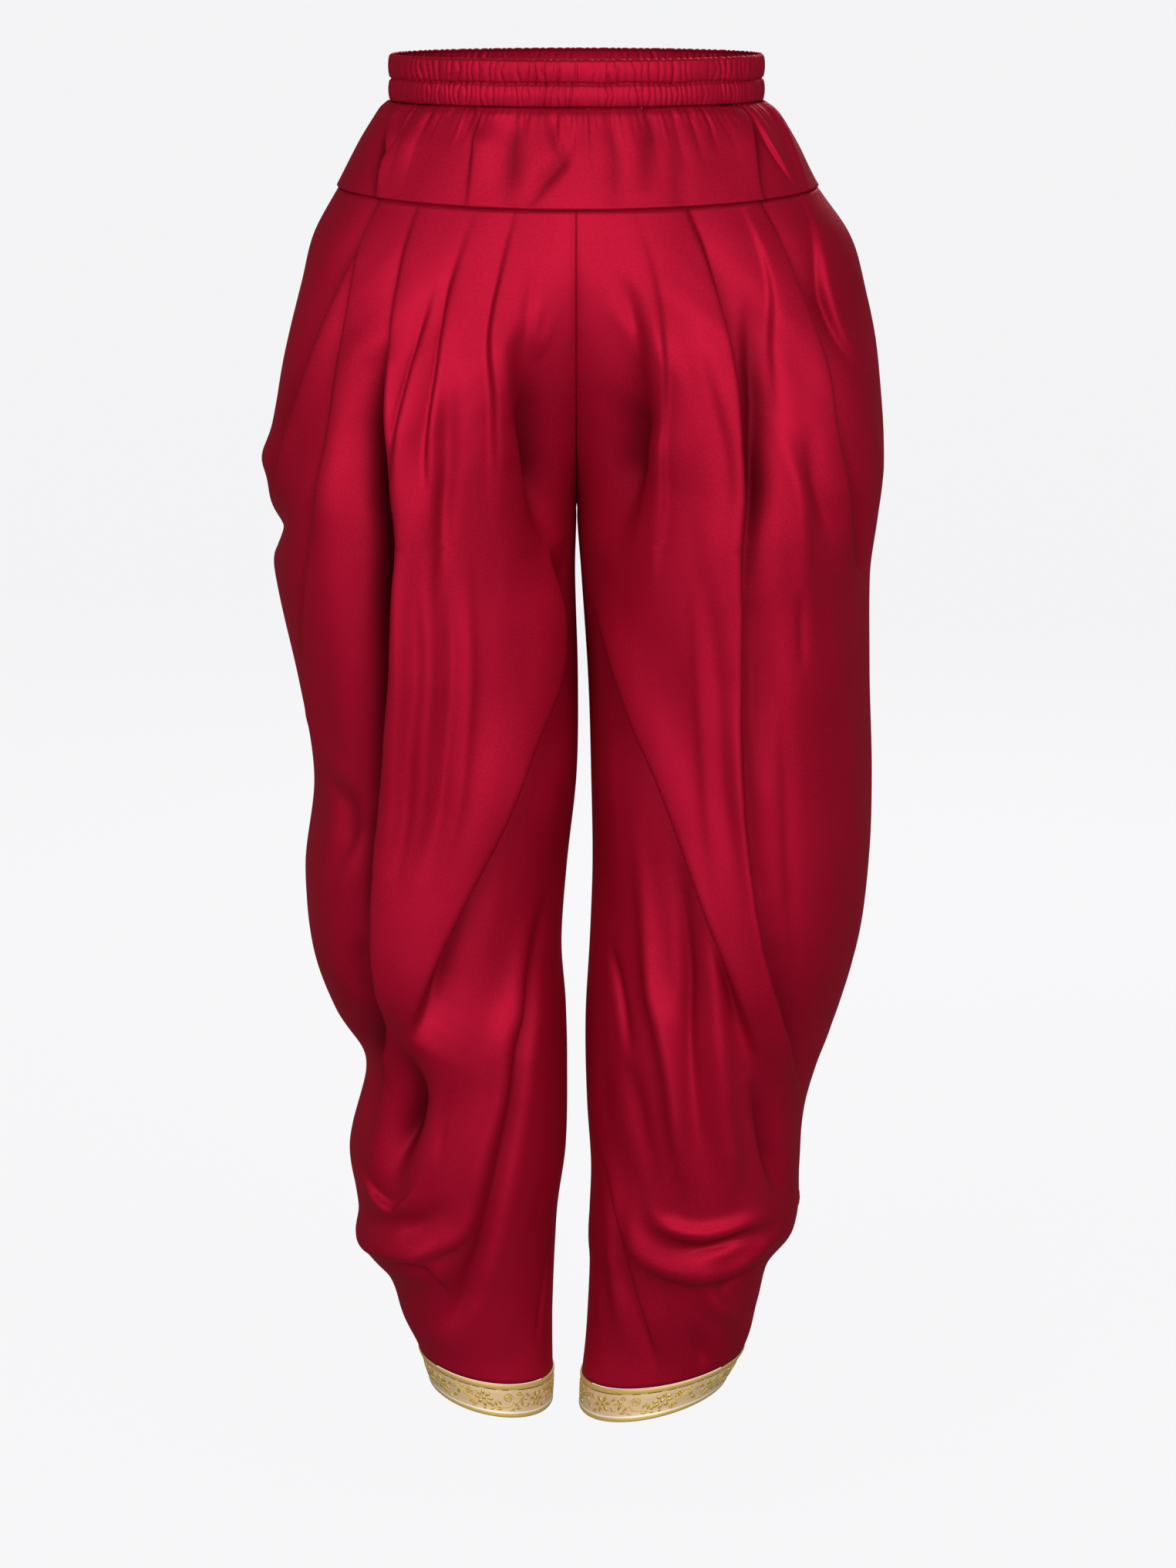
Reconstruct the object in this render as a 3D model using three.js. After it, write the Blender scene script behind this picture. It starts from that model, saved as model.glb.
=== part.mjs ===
// Dhoti pants of satin: a gathered waistband with two channels, a fitted yoke, two wide pleated legs
// that slouch over narrow cuffs, and a woven gold border round each cuff.
// Millimetres, +Z up, the front faces -Y. The origin is the middle of the waist ring, half way up the
// waistband. Degrees run round each leg: 0 inseam, 90 front, 180 outer side, 270 back.
import * as THREE from 'three';

// Driving dimensions
const wall = 1.6; // cloth with its seam allowances
const seamGap = 0.3; // between pieces that are sewn together
const band = { top: 16, foot: -16.5, halfWidth: 126.5, halfDepth: 92.5 };
const gatherCount = 128; // gathers round the waistband
const pointsPerGather = 2;
const gathersPerInnerPoint = 2;
const yokeSeam = { side: -75, drop: 9 }; // height at the side, and how far it dips at the middle
const yokeProud = 1.2; // the yoke lies over the tops of the legs
const gatherFade = 34; // the waistband's gathers die out this far down the yoke
const yokeGathers = { spacing: 17, height: 1.3 };
const crotch = -306;
const crotchCurve = 1.35; // how late the middle seam turns under
const borderHeight = 26;
const borderProud = 0.6;
const steepest = 0.62; // where folds slope more than this, the wall is allowed to thin
const quietSeam = { degrees: 26, top: 34, topShare: 0.3, bottom: 26 }; // folds calm down towards seams

// Points across and down each kind of panel
const mesh = {
  legFront: { across: 26, down: 32 },
  legBack: { across: 16, down: 27 },
  yokeFront: { across: 28, down: 5 },
  yokeBack: { across: 22, down: 5 },
  border: { around: 44, down: 2 },
};
const steepCrowding = 3; // how strongly columns crowd on the steep sides of folds
const lowerRows = 0.72; // below 1, rows crowd towards the cuffs, where the folds are short

const table = (columns, rows) =>
  rows.map((row) => Object.fromEntries(columns.map((name, i) => [name, row[i]])));

// The waistband's outer face: two puffed channels between three pinched lines
const bandRows = table(['z', 'puff', 'gather'], [
  [band.top, 0.6, 1.4],
  [8, 1.3, 2.0],
  [-1, 0.6, 1.2],
  [-9, 1.2, 2.0],
  [band.foot, 0.6, 1.4],
]);

// Each leg's section: reach from the middle plane to the outer side and to the inseam, and depth
// to the front and to the back
const sectionColumns = ['z', 'outer', 'inner', 'front', 'back'];
const rightSections = table(sectionColumns, [
  [-16, 129, 0, 95, 96],
  [-27, 138, 0, 99, 101],
  [-45, 150, 0, 105, 108],
  [-75, 166, 0, 112, 120],
  [-108, 184, 0, 118, 131],
  [-140, 193, 0, 123, 139],
  [-200, 207, 0, 129, 146],
  [-271, 218, 0, 133, 148],
  [-306, 216, 0, 134, 147],
  [-348, 214, 1, 133, 145],
  [-426, 199, -1, 129, 140],
  [-494, 189, 0, 125, 134],
  [-560, 196, 7, 121, 129],
  [-620, 191, 11, 115, 123],
  [-665, 176, 8, 110, 117],
  [-706, 154, 7, 102, 111],
  [-770, 166, 8, 95, 104],
  [-815, 160, 14, 87, 97],
  [-846, 156, 16, 78, 87],
  [-868, 138, 17, 68, 75],
  [-900, 127, 18, 59, 63],
  [-923, 117, 18, 53, 54],
  [-950, 108, 18, 50, 50],
  [-980, 98, 20, 47, 47],
]);
const leftSections = table(sectionColumns, [
  [-16, 129, 0, 95, 96],
  [-27, 140, 0, 99, 101],
  [-45, 152, 0, 105, 108],
  [-75, 168, 0, 112, 120],
  [-108, 191, 0, 118, 131],
  [-140, 202, 0, 123, 139],
  [-200, 213, 0, 129, 146],
  [-271, 218, 0, 133, 148],
  [-306, 214, 0, 134, 147],
  [-348, 208, 3, 133, 145],
  [-426, 209, 8, 129, 140],
  [-494, 211, 10, 125, 134],
  [-560, 210, 11, 121, 129],
  [-620, 202, 9, 115, 123],
  [-677, 185, 6, 108, 116],
  [-735, 167, 7, 100, 108],
  [-785, 162, 10, 93, 102],
  [-820, 161, 9, 86, 95],
  [-840, 154, 8, 78, 86],
  [-858, 141, 9, 70, 77],
  [-888, 133, 8, 62, 67],
  [-920, 125, 6, 54, 55],
  [-950, 109, 3, 50, 50],
  [-980, 90, 2, 47, 47],
]);

// Folds: how far each stands out (or in, below 0), how far it spreads towards smaller and towards
// larger degrees, and its path down the cloth as [degrees, z]. Where a path runs across the leg
// towards larger degrees, it spreads 'before' below itself and 'after' above.
const foldColumns = ['depth', 'before', 'after', 'path'];
const rightFolds = table(foldColumns, [
  [5, 14, 12, [[156, -60], [158, -150], [166, -229], [182, -264], [200, -270]]],
  [-9, 10, 10, [[147, -60], [148, -150], [156, -226], [178, -308], [206, -318]]],
  [10, 26, 7, [[143, -50], [137, -168], [132, -260], [138, -344], [155, -424], [178, -476]]],
  [-14, 10, 9, [[114, -190], [105, -300], [110, -390], [122, -500], [131, -610]]],
  [15, 36, 6, [[130, -40], [114, -200], [99, -290], [104, -398], [116, -520], [117, -610], [147, -739]]],
  [7, 16, 6, [[117, -50], [109, -150], [98, -208], [93, -250]]],
  [8, 20, 7, [[104, -50], [97, -140], [86, -192], [65, -264], [58, -310]]],
  [13, 8, 34, [[84, -150], [63, -237], [36, -310], [31, -400], [48, -458], [71, -525], [94, -626],
    [122, -700], [134, -790]]],
  [7, 14, 14, [[31, -537], [52, -643], [72, -740], [84, -800]]],
  [-9, 9, 12, [[24, -580], [47, -664], [67, -757], [82, -843], [112, -900]]],
  [-12, 10, 10, [[112, -680], [120, -745], [134, -792], [160, -786], [182, -774]]],
  [7, 10, 9, [[84, -786], [109, -818], [140, -832], [180, -824], [206, -832]]],
  [10, 32, 7, [[214, -50], [228, -170], [246, -280], [252, -400], [240, -520], [234, -620], [214, -735]]],
  [-11, 9, 9, [[236, -130], [244, -200], [260, -300], [266, -400], [254, -520]]],
  [10, 7, 26, [[262, -50], [270, -150], [288, -230], [316, -310], [324, -400], [304, -480], [282, -580],
    [262, -660], [238, -750]]],
  [6, 14, 14, [[335, -540], [312, -640], [292, -740], [280, -810]]],
  [-8, 10, 12, [[336, -600], [310, -690], [288, -790], [268, -870]]],
  [-9, 9, 9, [[186, -778], [212, -798], [240, -800], [266, -772]]],
  [7, 9, 11, [[196, -832], [226, -836], [262, -824], [284, -790]]],
]);
const leftFolds = table(foldColumns, [
  [-6, 9, 9, [[157, -50], [150, -130], [147, -170], [161, -205]]],
  [12, 28, 6, [[137, -50], [136, -167], [135, -249], [147, -307], [162, -342]]],
  [-12, 9, 11, [[150, -100], [143, -168], [144, -228], [152, -290], [182, -345], [206, -352]]],
  [13, 34, 6, [[116, -40], [109, -164], [95, -260], [93, -385], [92, -479], [94, -555]]],
  [7, 16, 7, [[133, -50], [128, -130], [121, -180], [114, -220]]],
  [-7, 10, 10, [[122, -130], [105, -218], [99, -280]]],
  [10, 8, 28, [[104, -50], [97, -150], [83, -208], [63, -285], [56, -355]]],
  [-10, 14, 12, [[94, -130], [78, -191], [62, -250], [46, -310]]],
  [-11, 9, 14, [[16, -350], [44, -430], [64, -507], [85, -595], [108, -675], [137, -751], [172, -814]]],
  [11, 26, 8, [[90, -490], [94, -560], [106, -626], [124, -675], [160, -724]]],
  [7, 13, 12, [[33, -520], [55, -610], [70, -685], [80, -756]]],
  [6, 12, 12, [[58, -520], [78, -617], [98, -700], [112, -756]]],
  [8, 9, 13, [[48, -770], [68, -803], [95, -812], [128, -800], [176, -820]]],
  [-8, 7, 8, [[58, -806], [86, -828], [118, -823], [148, -812]]],
  [6, 8, 8, [[58, -824], [88, -845], [122, -843], [150, -834]]],
  [-6, 9, 6, [[16, -767], [40, -815], [64, -871], [94, -932]]],
  [11, 30, 7, [[222, -50], [224, -170], [232, -270], [244, -390], [238, -500], [222, -620], [192, -718]]],
  [-11, 9, 9, [[210, -110], [212, -190], [208, -270], [186, -342]]],
  [11, 28, 7, [[248, -50], [254, -160], [266, -270], [270, -390], [268, -500], [262, -590]]],
  [-8, 10, 10, [[262, -110], [272, -200], [282, -290], [284, -390]]],
  [9, 7, 26, [[272, -50], [280, -150], [296, -230], [312, -310], [318, -390]]],
  [-10, 14, 10, [[346, -360], [316, -440], [294, -540], [272, -630], [248, -710], [214, -790], [186, -814]]],
  [7, 13, 13, [[330, -520], [306, -640], [286, -750]]],
  [-8, 8, 8, [[194, -806], [232, -826], [268, -826], [300, -808]]],
  [8, 8, 10, [[182, -820], [224, -844], [262, -846], [300, -826]]],
  [-6, 6, 9, [[344, -770], [318, -830], [290, -890], [268, -932]]],
]);
const rightYokeFolds = table(foldColumns, [
  [5, 18, 5, [[161, 5], [153, -40], [144, -100]]],
  [-4, 5, 9, [[166, -5], [159, -35], [153, -62]]],
  [2.5, 10, 7, [[124, 0], [121, -45], [118, -90]]],
  [-2, 9, 9, [[112, -10], [110, -40], [108, -66]]],
  [4, 12, 16, [[214, 5], [220, -40], [226, -100]]],
  [-3, 9, 8, [[250, -5], [252, -40], [253, -70]]],
]);
const leftYokeFolds = table(foldColumns, [
  [4.5, 17, 5, [[149, 5], [143, -45], [138, -100]]],
  [-4, 5, 10, [[155, -5], [150, -40], [146, -70]]],
  [2, 9, 9, [[136, 5], [134, -20], [132, -48]]],
  [-2, 9, 9, [[101, -15], [103, -45], [104, -68]]],
  [4, 16, 12, [[212, 5], [217, -40], [222, -100]]],
  [-3, 8, 9, [[244, -5], [246, -40], [248, -70]]],
]);

// The cuffs tilt: height of the border's top edge, how much the inseam side hangs lower, and how
// much the front does
const right = { side: -1, sections: rightSections, cuff: { z: -932, inseam: 8, front: 5 } };
const left = { side: 1, sections: leftSections, cuff: { z: -934, inseam: 10, front: 6 } };

const radians = THREE.MathUtils.degToRad;
const clamp = THREE.MathUtils.clamp;
const smooth = (x) => THREE.MathUtils.smoothstep(x, 0, 1);

// A fold's path as a smooth run of points
const pathSteps = 24;
for (const folds of [rightFolds, leftFolds, rightYokeFolds, leftYokeFolds]) {
  for (const fold of folds) {
    const curve = new THREE.SplineCurve(fold.path.map(([degrees, z]) => new THREE.Vector2(degrees, z)));
    fold.points = curve.getPoints(pathSteps);
  }
}
right.folds = rightFolds;
left.folds = leftFolds;
right.yokeFolds = rightYokeFolds;
left.yokeFolds = leftYokeFolds;

// The sections between the table's rows, on smooth curves
function sectionRow(sections, z) {
  const last = sections.length - 1;
  const at = clamp(sections.findIndex((row) => row.z <= z), 1, last) - 1;
  const [a, b] = [sections[at], sections[at + 1]];
  const [before, after] = [sections[Math.max(at - 1, 0)], sections[Math.min(at + 2, last)]];
  const t = clamp((z - a.z) / (b.z - a.z), 0, 1);
  const row = {};
  for (const name of sectionColumns) {
    const slopeA = (b[name] - before[name]) / (b.z - before.z) * (b.z - a.z);
    const slopeB = (after[name] - a[name]) / (after.z - a.z) * (b.z - a.z);
    row[name] = (2 * t ** 3 - 3 * t ** 2 + 1) * a[name] + (t ** 3 - 2 * t ** 2 + t) * slopeA
      + (3 * t ** 2 - 2 * t ** 3) * b[name] + (t ** 3 - t ** 2) * slopeB;
  }
  return row;
}

// One leg's section at a height. Above the crotch it opens to the half of the body that lies on its
// side of the middle plane, so it starts at the middle seam instead of the inseam.
function section(leg, z) {
  const row = sectionRow(leg.sections, z);
  const turned = clamp((yokeSeam.side - yokeSeam.drop / 2 - z) / (yokeSeam.side - crotch), 0, 1);
  const start = z < crotch ? 0 : 90 * (1 - turned ** crotchCurve);
  const half = z < crotch ? (row.outer - row.inner) / 2 : row.outer / (1 + Math.cos(radians(start)));
  return { ...row, start, half, centre: row.outer - half };
}

function skin(leg, degrees, z, out = 0) {
  const { half, centre, front, back } = section(leg, z);
  const [across, along] = [Math.cos(radians(degrees)), Math.sin(radians(degrees))];
  const depth = along > 0 ? front : back;
  const normal = new THREE.Vector2(-across / half, -along / depth).normalize();
  const x = centre - half * across + normal.x * out;
  return new THREE.Vector3(leg.side * x, -depth * along + normal.y * out, z);
}

// How far all folds together move the cloth out at one place
function foldHeight(folds, degrees, z, roundness) {
  let height = 0;
  for (const fold of folds) {
    const reach = 2.5 * Math.max(fold.before, fold.after);
    if (z > fold.points[0].y + reach && z > fold.points[pathSteps].y + reach) {
      continue;
    }
    let nearest = Infinity;
    let signed = 0;
    let along = 0;
    for (let i = 0; i < pathSteps; i++) {
      const [p, q] = [fold.points[i], fold.points[i + 1]];
      const [stepX, stepZ] = [(q.x - p.x) * roundness, q.y - p.y];
      const [offX, offZ] = [(degrees - p.x) * roundness, z - p.y];
      const t = clamp((offX * stepX + offZ * stepZ) / (stepX ** 2 + stepZ ** 2), 0, 1);
      const distance = Math.hypot(offX - t * stepX, offZ - t * stepZ);
      if (distance < nearest) {
        nearest = distance;
        signed = stepX * offZ - stepZ * offX;
        along = (i + t) / pathSteps;
      }
    }
    const spread = signed < 0 ? fold.before : fold.after;
    const fade = smooth(along / 0.2) * smooth((1 - along) / 0.2);
    height += fold.depth * fade * Math.exp(-((nearest / spread) ** 2));
  }
  return height;
}

const seamHeight = (degrees) => yokeSeam.side - yokeSeam.drop * Math.abs(Math.sin(radians(degrees))) ** 1.5;
const cuffHeight = ({ cuff }, degrees) =>
  cuff.z - cuff.inseam * Math.cos(radians(degrees)) - cuff.front * Math.sin(radians(degrees));

function legFolds(leg, degrees, z) {
  const { start, half, front } = section(leg, z);
  const millimetresPerDegree = radians((half + front) / 2);
  const fromSeam = Math.min(degrees - start, 360 - start - degrees) / quietSeam.degrees;
  const fromTop = smooth((seamHeight(degrees) - z) / quietSeam.top);
  const fromCuff = smooth((z - cuffHeight(leg, degrees)) / quietSeam.bottom);
  const calm = smooth(fromSeam) * fromCuff * (quietSeam.topShare + (1 - quietSeam.topShare) * fromTop);
  return calm * foldHeight(leg.folds, degrees, z, millimetresPerDegree);
}

const legPoint = (leg, degrees, z) => skin(leg, degrees, z, legFolds(leg, degrees, z));

function yokePoint(leg, degrees, z) {
  const { half, front } = section(leg, z);
  const roundness = radians((half + front) / 2);
  const fade = smooth((gatherFade + z - band.foot) / gatherFade);
  const phase = 2 * Math.PI * (degrees * roundness) / yokeGathers.spacing;
  const gathers = yokeGathers.height * fade * Math.cos(phase + 1.4 * Math.sin(phase * 0.31));
  const fromMiddle = smooth(Math.abs(Math.abs(degrees - 180) - 90) / 12);
  const folds = foldHeight(leg.yokeFolds, degrees, z, roundness) + gathers;
  return skin(leg, degrees, z, yokeProud + fromMiddle * folds);
}

// A point's inner twin at the same height, one wall in from the cloth's own slope, or straight in
// at a seam, so that the two pieces' edges stay parallel
function lining(leg, point, degrees, z, atSeam) {
  const around = point(degrees + 1.6, z).sub(point(degrees - 1.6, z));
  const up = point(degrees, z + 5).sub(point(degrees, z - 5));
  const slope = around.cross(up).normalize().multiplyScalar(leg.side);
  const straight = skin(leg, degrees, z, 1).sub(skin(leg, degrees, z));
  const normal = atSeam ? straight : slope;
  const level = Math.hypot(normal.x, normal.y);
  const inward = new THREE.Vector3(-normal.x, -normal.y, 0).divideScalar(level);
  return point(degrees, z).addScaledVector(inward, wall / Math.max(level, steepest));
}

// A closed thin body from an outer and an inner grid of points. Closed grids wrap round, and the
// inner one may have fewer points round than the outer one.
function cloth(name, colour, outer, inner, wraps) {
  const points = [...outer.flat(), ...inner.flat()];
  const faces = [];
  const grid = (rows, first) => ({
    down: rows.length,
    steps: rows[0].length - (wraps ? 0 : 1),
    at: (r, c) => first + r * rows[0].length + (c % rows[0].length),
  });
  const [face, back] = [grid(outer, 0), grid(inner, outer.flat().length)];
  for (const [side, flip] of [[face, false], [back, true]]) {
    for (let r = 0; r + 1 < side.down; r++) {
      for (let c = 0; c < side.steps; c++) {
        const [a, b, d, e] = [side.at(r, c), side.at(r + 1, c), side.at(r + 1, c + 1), side.at(r, c + 1)];
        faces.push(flip ? [a, d, b] : [a, b, d], flip ? [a, e, d] : [a, d, e]);
      }
    }
  }
  const edge = (steps, ratio, outside, inside, flip) => {
    const middle = Math.floor(ratio / 2);
    const add = (a, b, c) => faces.push(flip ? [b, a, c] : [a, b, c]);
    for (let i = 0; i < steps; i++) {
      for (let j = 0; j < ratio; j++) {
        add(outside(i * ratio + j), outside(i * ratio + j + 1), inside(i + (j >= middle ? 1 : 0)));
      }
      add(outside(i * ratio + middle), inside(i + 1), inside(i));
    }
  };
  const ratio = face.steps / back.steps;
  edge(back.steps, ratio, (i) => face.at(0, i), (i) => back.at(0, i), false);
  edge(back.steps, ratio, (i) => face.at(face.down - 1, i), (i) => back.at(back.down - 1, i), true);
  if (!wraps) {
    edge(face.down - 1, 1, (i) => face.at(i, 0), (i) => back.at(i, 0), true);
    edge(face.down - 1, 1, (i) => face.at(i, face.steps), (i) => back.at(i, back.steps), false);
  }
  const volume = faces.reduce((sum, [a, b, c]) =>
    sum + points[a].dot(new THREE.Vector3().crossVectors(points[b], points[c])), 0);
  const index = volume > 0 ? faces : faces.map(([a, b, c]) => [a, c, b]);
  const geometry = new THREE.BufferGeometry().setFromPoints(points);
  geometry.setIndex(index.flat());
  geometry.computeVertexNormals();
  const body = new THREE.Mesh(geometry, new THREE.MeshStandardMaterial(colour));
  body.name = name;
  return body;
}

// Evenly spaced places round an ellipse
function evenAngles(count, halfWidth, halfDepth) {
  const fine = 2000;
  const lengths = [0];
  for (let i = 0; i < fine; i++) {
    const angle = (i + 0.5) / fine * 2 * Math.PI;
    lengths.push(lengths[i] + Math.hypot(halfWidth * Math.sin(angle), halfDepth * Math.cos(angle)));
  }
  return Array.from({ length: count }, (_, i) => {
    const at = lengths.findIndex((length) => length > lengths[fine] * i / count) - 1;
    return Math.max(at, 0) / fine * 2 * Math.PI;
  });
}

// The degrees of places spread along a section from one angle to another, by the length of the cloth,
// and closer together where folds are steep
function degreesAlong(leg, z, share, from, to, height) {
  const fine = height ? 64 : 32;
  const lengths = [0];
  let before = skin(leg, from, z);
  let heightBefore = height ? height(from, z) : 0;
  for (let i = 1; i <= fine; i++) {
    const degrees = from + (to - from) * i / fine;
    const here = skin(leg, degrees, z);
    const heightHere = height ? height(degrees, z) : 0;
    const climb = steepCrowding * (heightHere - heightBefore);
    lengths.push(lengths[i - 1] + Math.hypot(here.distanceTo(before), climb));
    before = here;
    heightBefore = heightHere;
  }
  const wanted = lengths[fine] * share;
  const at = clamp(lengths.findIndex((length) => length >= wanted) - 1, 0, fine - 1);
  const part = clamp((wanted - lengths[at]) / (lengths[at + 1] - lengths[at]), 0, 1);
  return from + (to - from) * (at + part) / fine;
}

const satin = { color: 0x9a0d2b, roughness: 0.42, metalness: 0 };
const gold = { color: 0xcab272, roughness: 0.45, metalness: 0.35 };

function waistband() {
  const ring = (count, z, out) =>
    evenAngles(count, band.halfWidth, band.halfDepth).map((angle, i) => {
      const reach = out(i);
      const [x, y] = [(band.halfWidth + reach) * Math.cos(angle), (band.halfDepth + reach) * Math.sin(angle)];
      return new THREE.Vector3(x, y, z);
    });
  const around = gatherCount * pointsPerGather;
  const outer = bandRows.map(({ z, puff, gather }) =>
    ring(around, z, (i) => wall + puff + (i % pointsPerGather ? -gather : gather) / 2));
  const inner = [band.top, band.foot].map((z) => ring(gatherCount / gathersPerInnerPoint, z, () => 0));
  return cloth('waistband', satin, outer, inner, true);
}

// The front or the back yoke runs from one side seam to the other, over both legs' sections
function yoke(name, back) {
  const { across, down } = back ? mesh.yokeBack : mesh.yokeFront;
  const middle = back ? 270 : 90;
  const outer = [];
  const inner = [];
  for (let r = 0; r <= down; r++) {
    const places = [];
    for (let c = -across; c <= across; c++) {
      const leg = c < 0 ? right : left;
      const share = Math.abs(c) / across;
      let z = band.foot;
      let degrees = middle;
      for (let pass = 0; pass < 3; pass++) {
        degrees = degreesAlong(leg, z, share, middle, 180);
        const low = seamHeight(degrees) + seamGap / 2;
        z = THREE.MathUtils.lerp(band.foot - seamGap, low, r / down);
      }
      places.push({ leg, degrees, z });
    }
    const shift = new THREE.Vector3(0, (back ? 1 : -1) * seamGap / 2, 0);
    const point = (leg) => (degrees, z) => yokePoint(leg, degrees, z);
    outer.push(places.map(({ leg, degrees, z }) => yokePoint(leg, degrees, z).add(shift)));
    inner.push(places.map(({ leg, degrees, z }, i) =>
      lining(leg, point(leg), degrees, z, i % (2 * across) === 0).add(shift)));
  }
  return cloth(name, satin, outer, inner, false);
}

// A leg's front or back panel, from the yoke seam to the border
function legPanel(name, leg, back) {
  const { across, down } = back ? mesh.legBack : mesh.legFront;
  const shift = new THREE.Vector3(leg.side, back ? 1 : -1, 0).multiplyScalar(seamGap / 2);
  const height = (degrees, z) => legFolds(leg, degrees, z);
  const point = (degrees, z) => legPoint(leg, degrees, z);
  const outer = [];
  const inner = [];
  for (let r = 0; r <= down; r++) {
    const low = (r / down) ** lowerRows;
    const places = [];
    for (let c = 0; c <= across; c++) {
      let degrees = back ? 200 : 160;
      let z = crotch;
      for (let pass = 0; pass < 7; pass++) {
        z = THREE.MathUtils.lerp(seamHeight(degrees) - seamGap / 2, cuffHeight(leg, degrees), low);
        const { start } = section(leg, z);
        const [from, to] = back ? [180, 360 - start] : [start, 180];
        degrees = degreesAlong(leg, z, c / across, from, to, pass > 4 && height);
      }
      places.push([degrees, z]);
    }
    outer.push(places.map(([degrees, z]) => point(degrees, z).add(shift)));
    inner.push(places.map(([degrees, z], i) =>
      lining(leg, point, degrees, z, i % across === 0).add(shift)));
  }
  return cloth(name, satin, outer, inner, false);
}

function border(name, leg) {
  const { around, down } = mesh.border;
  const shift = new THREE.Vector3(leg.side * seamGap / 2, 0, 0);
  const rings = (out) =>
    Array.from({ length: down + 1 }, (_, r) =>
      Array.from({ length: around }, (__, c) => {
        const degrees = 360 * c / around;
        const z = cuffHeight(leg, degrees) - seamGap - borderHeight * r / down;
        return skin(leg, degrees, z, out).add(shift);
      }));
  return cloth(name, gold, rings(borderProud), rings(-wall), true);
}

const group = new THREE.Group();
group.add(
  waistband(),
  yoke('yoke_front', false),
  yoke('yoke_back', true),
  legPanel('leg_right_front', right, false),
  legPanel('leg_right_back', right, true),
  legPanel('leg_left_front', left, false),
  legPanel('leg_left_back', left, true),
  border('border_right', right),
  border('border_left', left),
);

export default group;
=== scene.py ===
import math

import bmesh
import bpy
import numpy as np
from mathutils import Matrix, Vector


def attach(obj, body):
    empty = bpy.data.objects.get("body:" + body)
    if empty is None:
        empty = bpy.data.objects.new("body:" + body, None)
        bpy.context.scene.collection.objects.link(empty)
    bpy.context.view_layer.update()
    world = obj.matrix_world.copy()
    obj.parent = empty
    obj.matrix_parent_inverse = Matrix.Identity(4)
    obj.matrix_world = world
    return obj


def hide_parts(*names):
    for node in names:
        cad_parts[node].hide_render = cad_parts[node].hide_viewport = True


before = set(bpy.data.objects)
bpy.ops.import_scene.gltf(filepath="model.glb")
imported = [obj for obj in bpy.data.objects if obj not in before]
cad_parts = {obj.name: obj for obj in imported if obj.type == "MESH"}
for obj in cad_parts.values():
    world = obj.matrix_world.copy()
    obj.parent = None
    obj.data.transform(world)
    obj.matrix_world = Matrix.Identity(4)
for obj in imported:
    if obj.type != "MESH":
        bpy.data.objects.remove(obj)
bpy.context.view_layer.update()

# Satin dhoti pants. Each piece of cloth starts as a plain grid, is wrapped round its leg's section and
# is then folded. Degrees run round a leg: 0 inseam, 90 front, 180 outer side, 270 back.
# Tables are in millimetres, finished meshes in metres.
mm = 0.001
scene = bpy.context.scene
scene.view_settings.view_transform = "Standard"

cut = {
    "bandTop": 16, "bandStitch": -1, "bandFoot": -16.5,
    "bandHalfWidth": 128.2, "bandHalfDepth": 94.2,
    "yokeSide": -75, "yokeDrop": 9, "yokeCurve": 1.5,   # yoke seam at the side, its dip at the middle
    "crotch": -306, "crotchCurve": 1.35,                # how late the middle seam turns under
    "borderHeight": 26, "seamGap": 0.3, "sewnGap": 0.04,   # the cloth closes up where panels are sewn
    "calmDegrees": 24, "calmTop": 105, "calmTopShare": 0.3, "calmBottom": 24,   # folds die out here
}

# z, reach to the outer side and to the inseam, depth to the front and to the back
rightSections = [
    (-16, 129, 0, 95, 96), (-27, 138, 0, 99, 101), (-45, 150, 0, 105, 108), (-75, 166, 0, 112, 120),
    (-108, 184, 0, 118, 131), (-140, 193, 0, 123, 139), (-200, 207, 0, 129, 146),
    (-271, 218, 0, 133, 148), (-306, 216, 0, 134, 147), (-348, 214, 1, 133, 145),
    (-426, 199, -1, 129, 140), (-494, 189, 0, 125, 134), (-560, 196, 7, 121, 129),
    (-620, 191, 11, 115, 123), (-665, 176, 8, 110, 117), (-706, 154, 7, 102, 111),
    (-770, 166, 8, 95, 104), (-815, 160, 14, 87, 97), (-846, 156, 16, 78, 87),
    (-868, 138, 17, 68, 75), (-900, 127, 18, 59, 63), (-923, 117, 18, 53, 54),
    (-950, 108, 18, 50, 50), (-980, 98, 20, 47, 47),
]
leftSections = [
    (-16, 129, 0, 95, 96), (-27, 140, 0, 99, 101), (-45, 152, 0, 105, 108), (-75, 168, 0, 112, 120),
    (-108, 191, 0, 118, 131), (-140, 202, 0, 123, 139), (-200, 213, 0, 129, 146),
    (-271, 218, 0, 133, 148), (-306, 214, 0, 134, 147), (-348, 208, 3, 133, 145),
    (-426, 209, 8, 129, 140), (-494, 211, 10, 125, 134), (-560, 210, 11, 121, 129),
    (-620, 202, 9, 115, 123), (-677, 185, 6, 108, 116), (-735, 167, 7, 100, 108),
    (-785, 162, 10, 93, 102), (-820, 161, 9, 86, 95), (-840, 154, 8, 78, 86),
    (-858, 141, 9, 70, 77), (-888, 133, 8, 62, 67), (-920, 125, 6, 54, 55),
    (-950, 109, 3, 50, 50), (-980, 90, 2, 47, 47),
]

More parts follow.
